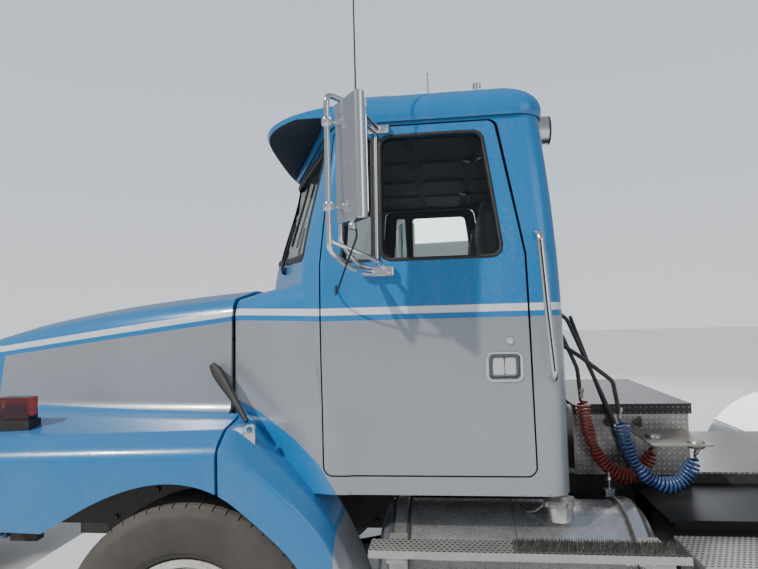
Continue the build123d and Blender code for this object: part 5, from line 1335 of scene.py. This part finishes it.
piece("turn_lenses", ambers, lens_amber)
piece("work_light_glasses", whites, lens_clear)

# %% [markdown]
# The toolbox has two paddle latches at its back, a plate on each side and a hinge along its lid. All are thin
# rounded slabs, which is enough for pressed metal seen from a few metres.

# %% Box fittings
behind_box_x, beside_box_y = -0.4, 0.9
box_forms = []
for spot in seats_on("toolbox", 0, behind_box_x, 1, [(-0.26, 1.150), (0.26, 1.150)])[0]:
    box_forms += [slab((0.110, 0.075, 0.004), spot, -Y, Z, 0.012),
                  slab((0.060, 0.044, 0.009), spot - X * 0.003, -Y, Z, 0.010, 0.003)]
for side in (1, -1):
    for spot in seats_on("toolbox", 1, side * beside_box_y, -side, [(0.195, 1.165)])[0]:
        box_forms.append(slab((0.105, 0.055, 0.005), spot, side * X, Z, 0.010))
piece("toolbox_latches", box_forms, stainless)
piece("toolbox_hinge", [slab((0.018, 0.860, 0.010), (0.4475, 0.0, 1.226), Z, Y)], stainless)

# %% [markdown]
# Rivets close the cab's panels along their seams: under the doors and across the rear wall. The coordinates
# are given along each seam, and the seats come from straight lines dropped onto the solid.

# %% Cab rivets
beside_cab_y, under_door = 1.5, [(x, 1.028) for x in np.arange(0.66, 1.45, 0.09)]
rivet_rows = [(1, side * beside_cab_y, -side, under_door) for side in (1, -1)]
rivet_rows += [(0, behind_x, 1, [(y, 2.40) for y in np.arange(-0.72, 0.73, 0.12)]),
               (0, behind_x, 1, [(y, 1.06) for y in np.arange(-0.78, 0.79, 0.12)])]
rivets = [standing(button_head(0.0055, 0.0022), *seats_on("cab_shell", *row)) for row in rivet_rows]
piece("cab_rivets", rivets, body_paint)

# %% [markdown]
# The curled lines end in coupling heads parked on a bracket beside the toolbox, so that nothing hangs loose. A
# plate on the cab's rear wall carries the ends of the black service hoses.

# %% Brackets for the air lines
coupling_head = [(0, -0.006), (0.030, -0.006), (0.034, 0.000), (0.034, 0.016), (0.028, 0.024), (0.012, 0.026),
                 (0, 0.026)]
park_forms = [slab((0.240, 0.290, 0.006), (0.075, 0.585, 1.118), corner=0.02),
              slab((0.200, 0.070, 0.006), (0.075, 0.447, 1.090), X, Z, 0.01)]
park_forms += [turned(coupling_head, 24, path[-1] + Z * 0.024) for path in air_paths.values()]
piece("coupling_bracket", park_forms, bolt_steel, sharp=40)
behind_wall_x = 0.0
wall_spots, _ = seats_on("cab_shell", 0, behind_wall_x, 1, [line[0][1:] for line in black_lines])
wall_plate = slab((0.180, 0.260, 0.006), wall_spots.mean(0) - X * 0.001, -Y, Z, 0.02)
unions = [turned([(0, 0), (0.017, 0), (0.017, 0.014), (0.012, 0.018), (0.012, 0.040), (0, 0.040)], 16,
                 spot - X * 0.004, -X) for spot in wall_spots]
piece("hose_wall_plate", [wall_plate] + unions, bolt_steel, sharp=40)

# %% [markdown]
# The cab's roof is lined with padded panels: rounded slabs on the roof's inside, found by straight lines sent
# upwards from the seats. Two round lamps sit between them.

# %% Headliner
head_height, lowest_roof = 1.9, 2.2


def on_roof(spots):
    """Where straight lines upwards meet the roof's inside. Those that meet a wall lower down are left out."""
    found, _ = seats_on("roof_cap", 2, head_height, 1, spots)
    return found[found[:, 2] > lowest_roof]


pad_levels = [(0, 0), (0, 0.006), (0.006, 0.012), (0.022, 0.015), (0.030, 0.013)]
pads = [raised(box_loop(0.250, 0.370, 0.045), pad_levels, spot - Z * 0.001, X, -Y)
        for spot in on_roof([(x, y) for x in (0.72, 1.00, 1.28) for y in (-0.62, -0.21, 0.21, 0.62)])]
domes = [turned([(0, 0), (0.050, 0), (0.048, 0.008), (0.030, 0.020), (0, 0.024)], 24, spot, -Z)
         for spot in on_roof([(0.86, -0.4), (0.86, 0.4)])]
piece("headliner_pads", pads, liner, sharp=40)
piece("cab_dome_lamps", domes, lens_clear, sharp=40)

# %% [markdown]
# Two small plates sit low on each front fender, one bright and one dark. They stay blank, and each is turned
# flat to the fender by the normal under it.

# %% Fender plates
beside_fender_y = 1.6
for word, side in SIDES:
    spots, ways = seats_on("hood_shell", 1, side * beside_fender_y, -side, [(2.800, 1.020), (2.830, 0.965)])
    bright, dark = (slab(size, spot - way * 0.001, np.cross(Z, way), np.cross(way, np.cross(Z, way)), 0.008)
                    for size, spot, way in zip(((0.075, 0.048, 0.005), (0.120, 0.030, 0.005)), spots, ways))
    piece(f"fender_plate_bright_{word}", [bright], chrome, "hood")
    piece(f"fender_plate_dark_{word}", [dark], trim_plastic, "hood")

# %% [markdown]
# A grab handle is a tube with a groove along its face, filled with a rubber strip for grip. The strip is a flat
# section swept along the handle's own line.

# %% Grab handle flutes
flute_y = 1.1325
flutes = [swept(smooth_line([(0.667, y, 1.930), (0.654, y, 1.700), (0.636, y, 1.470)], 24), ring(0.003, 8, 0.5),
                up=np.sign(y) * Y) for y in (flute_y, -flute_y)]
piece("handle_flutes", flutes, seal_rubber)
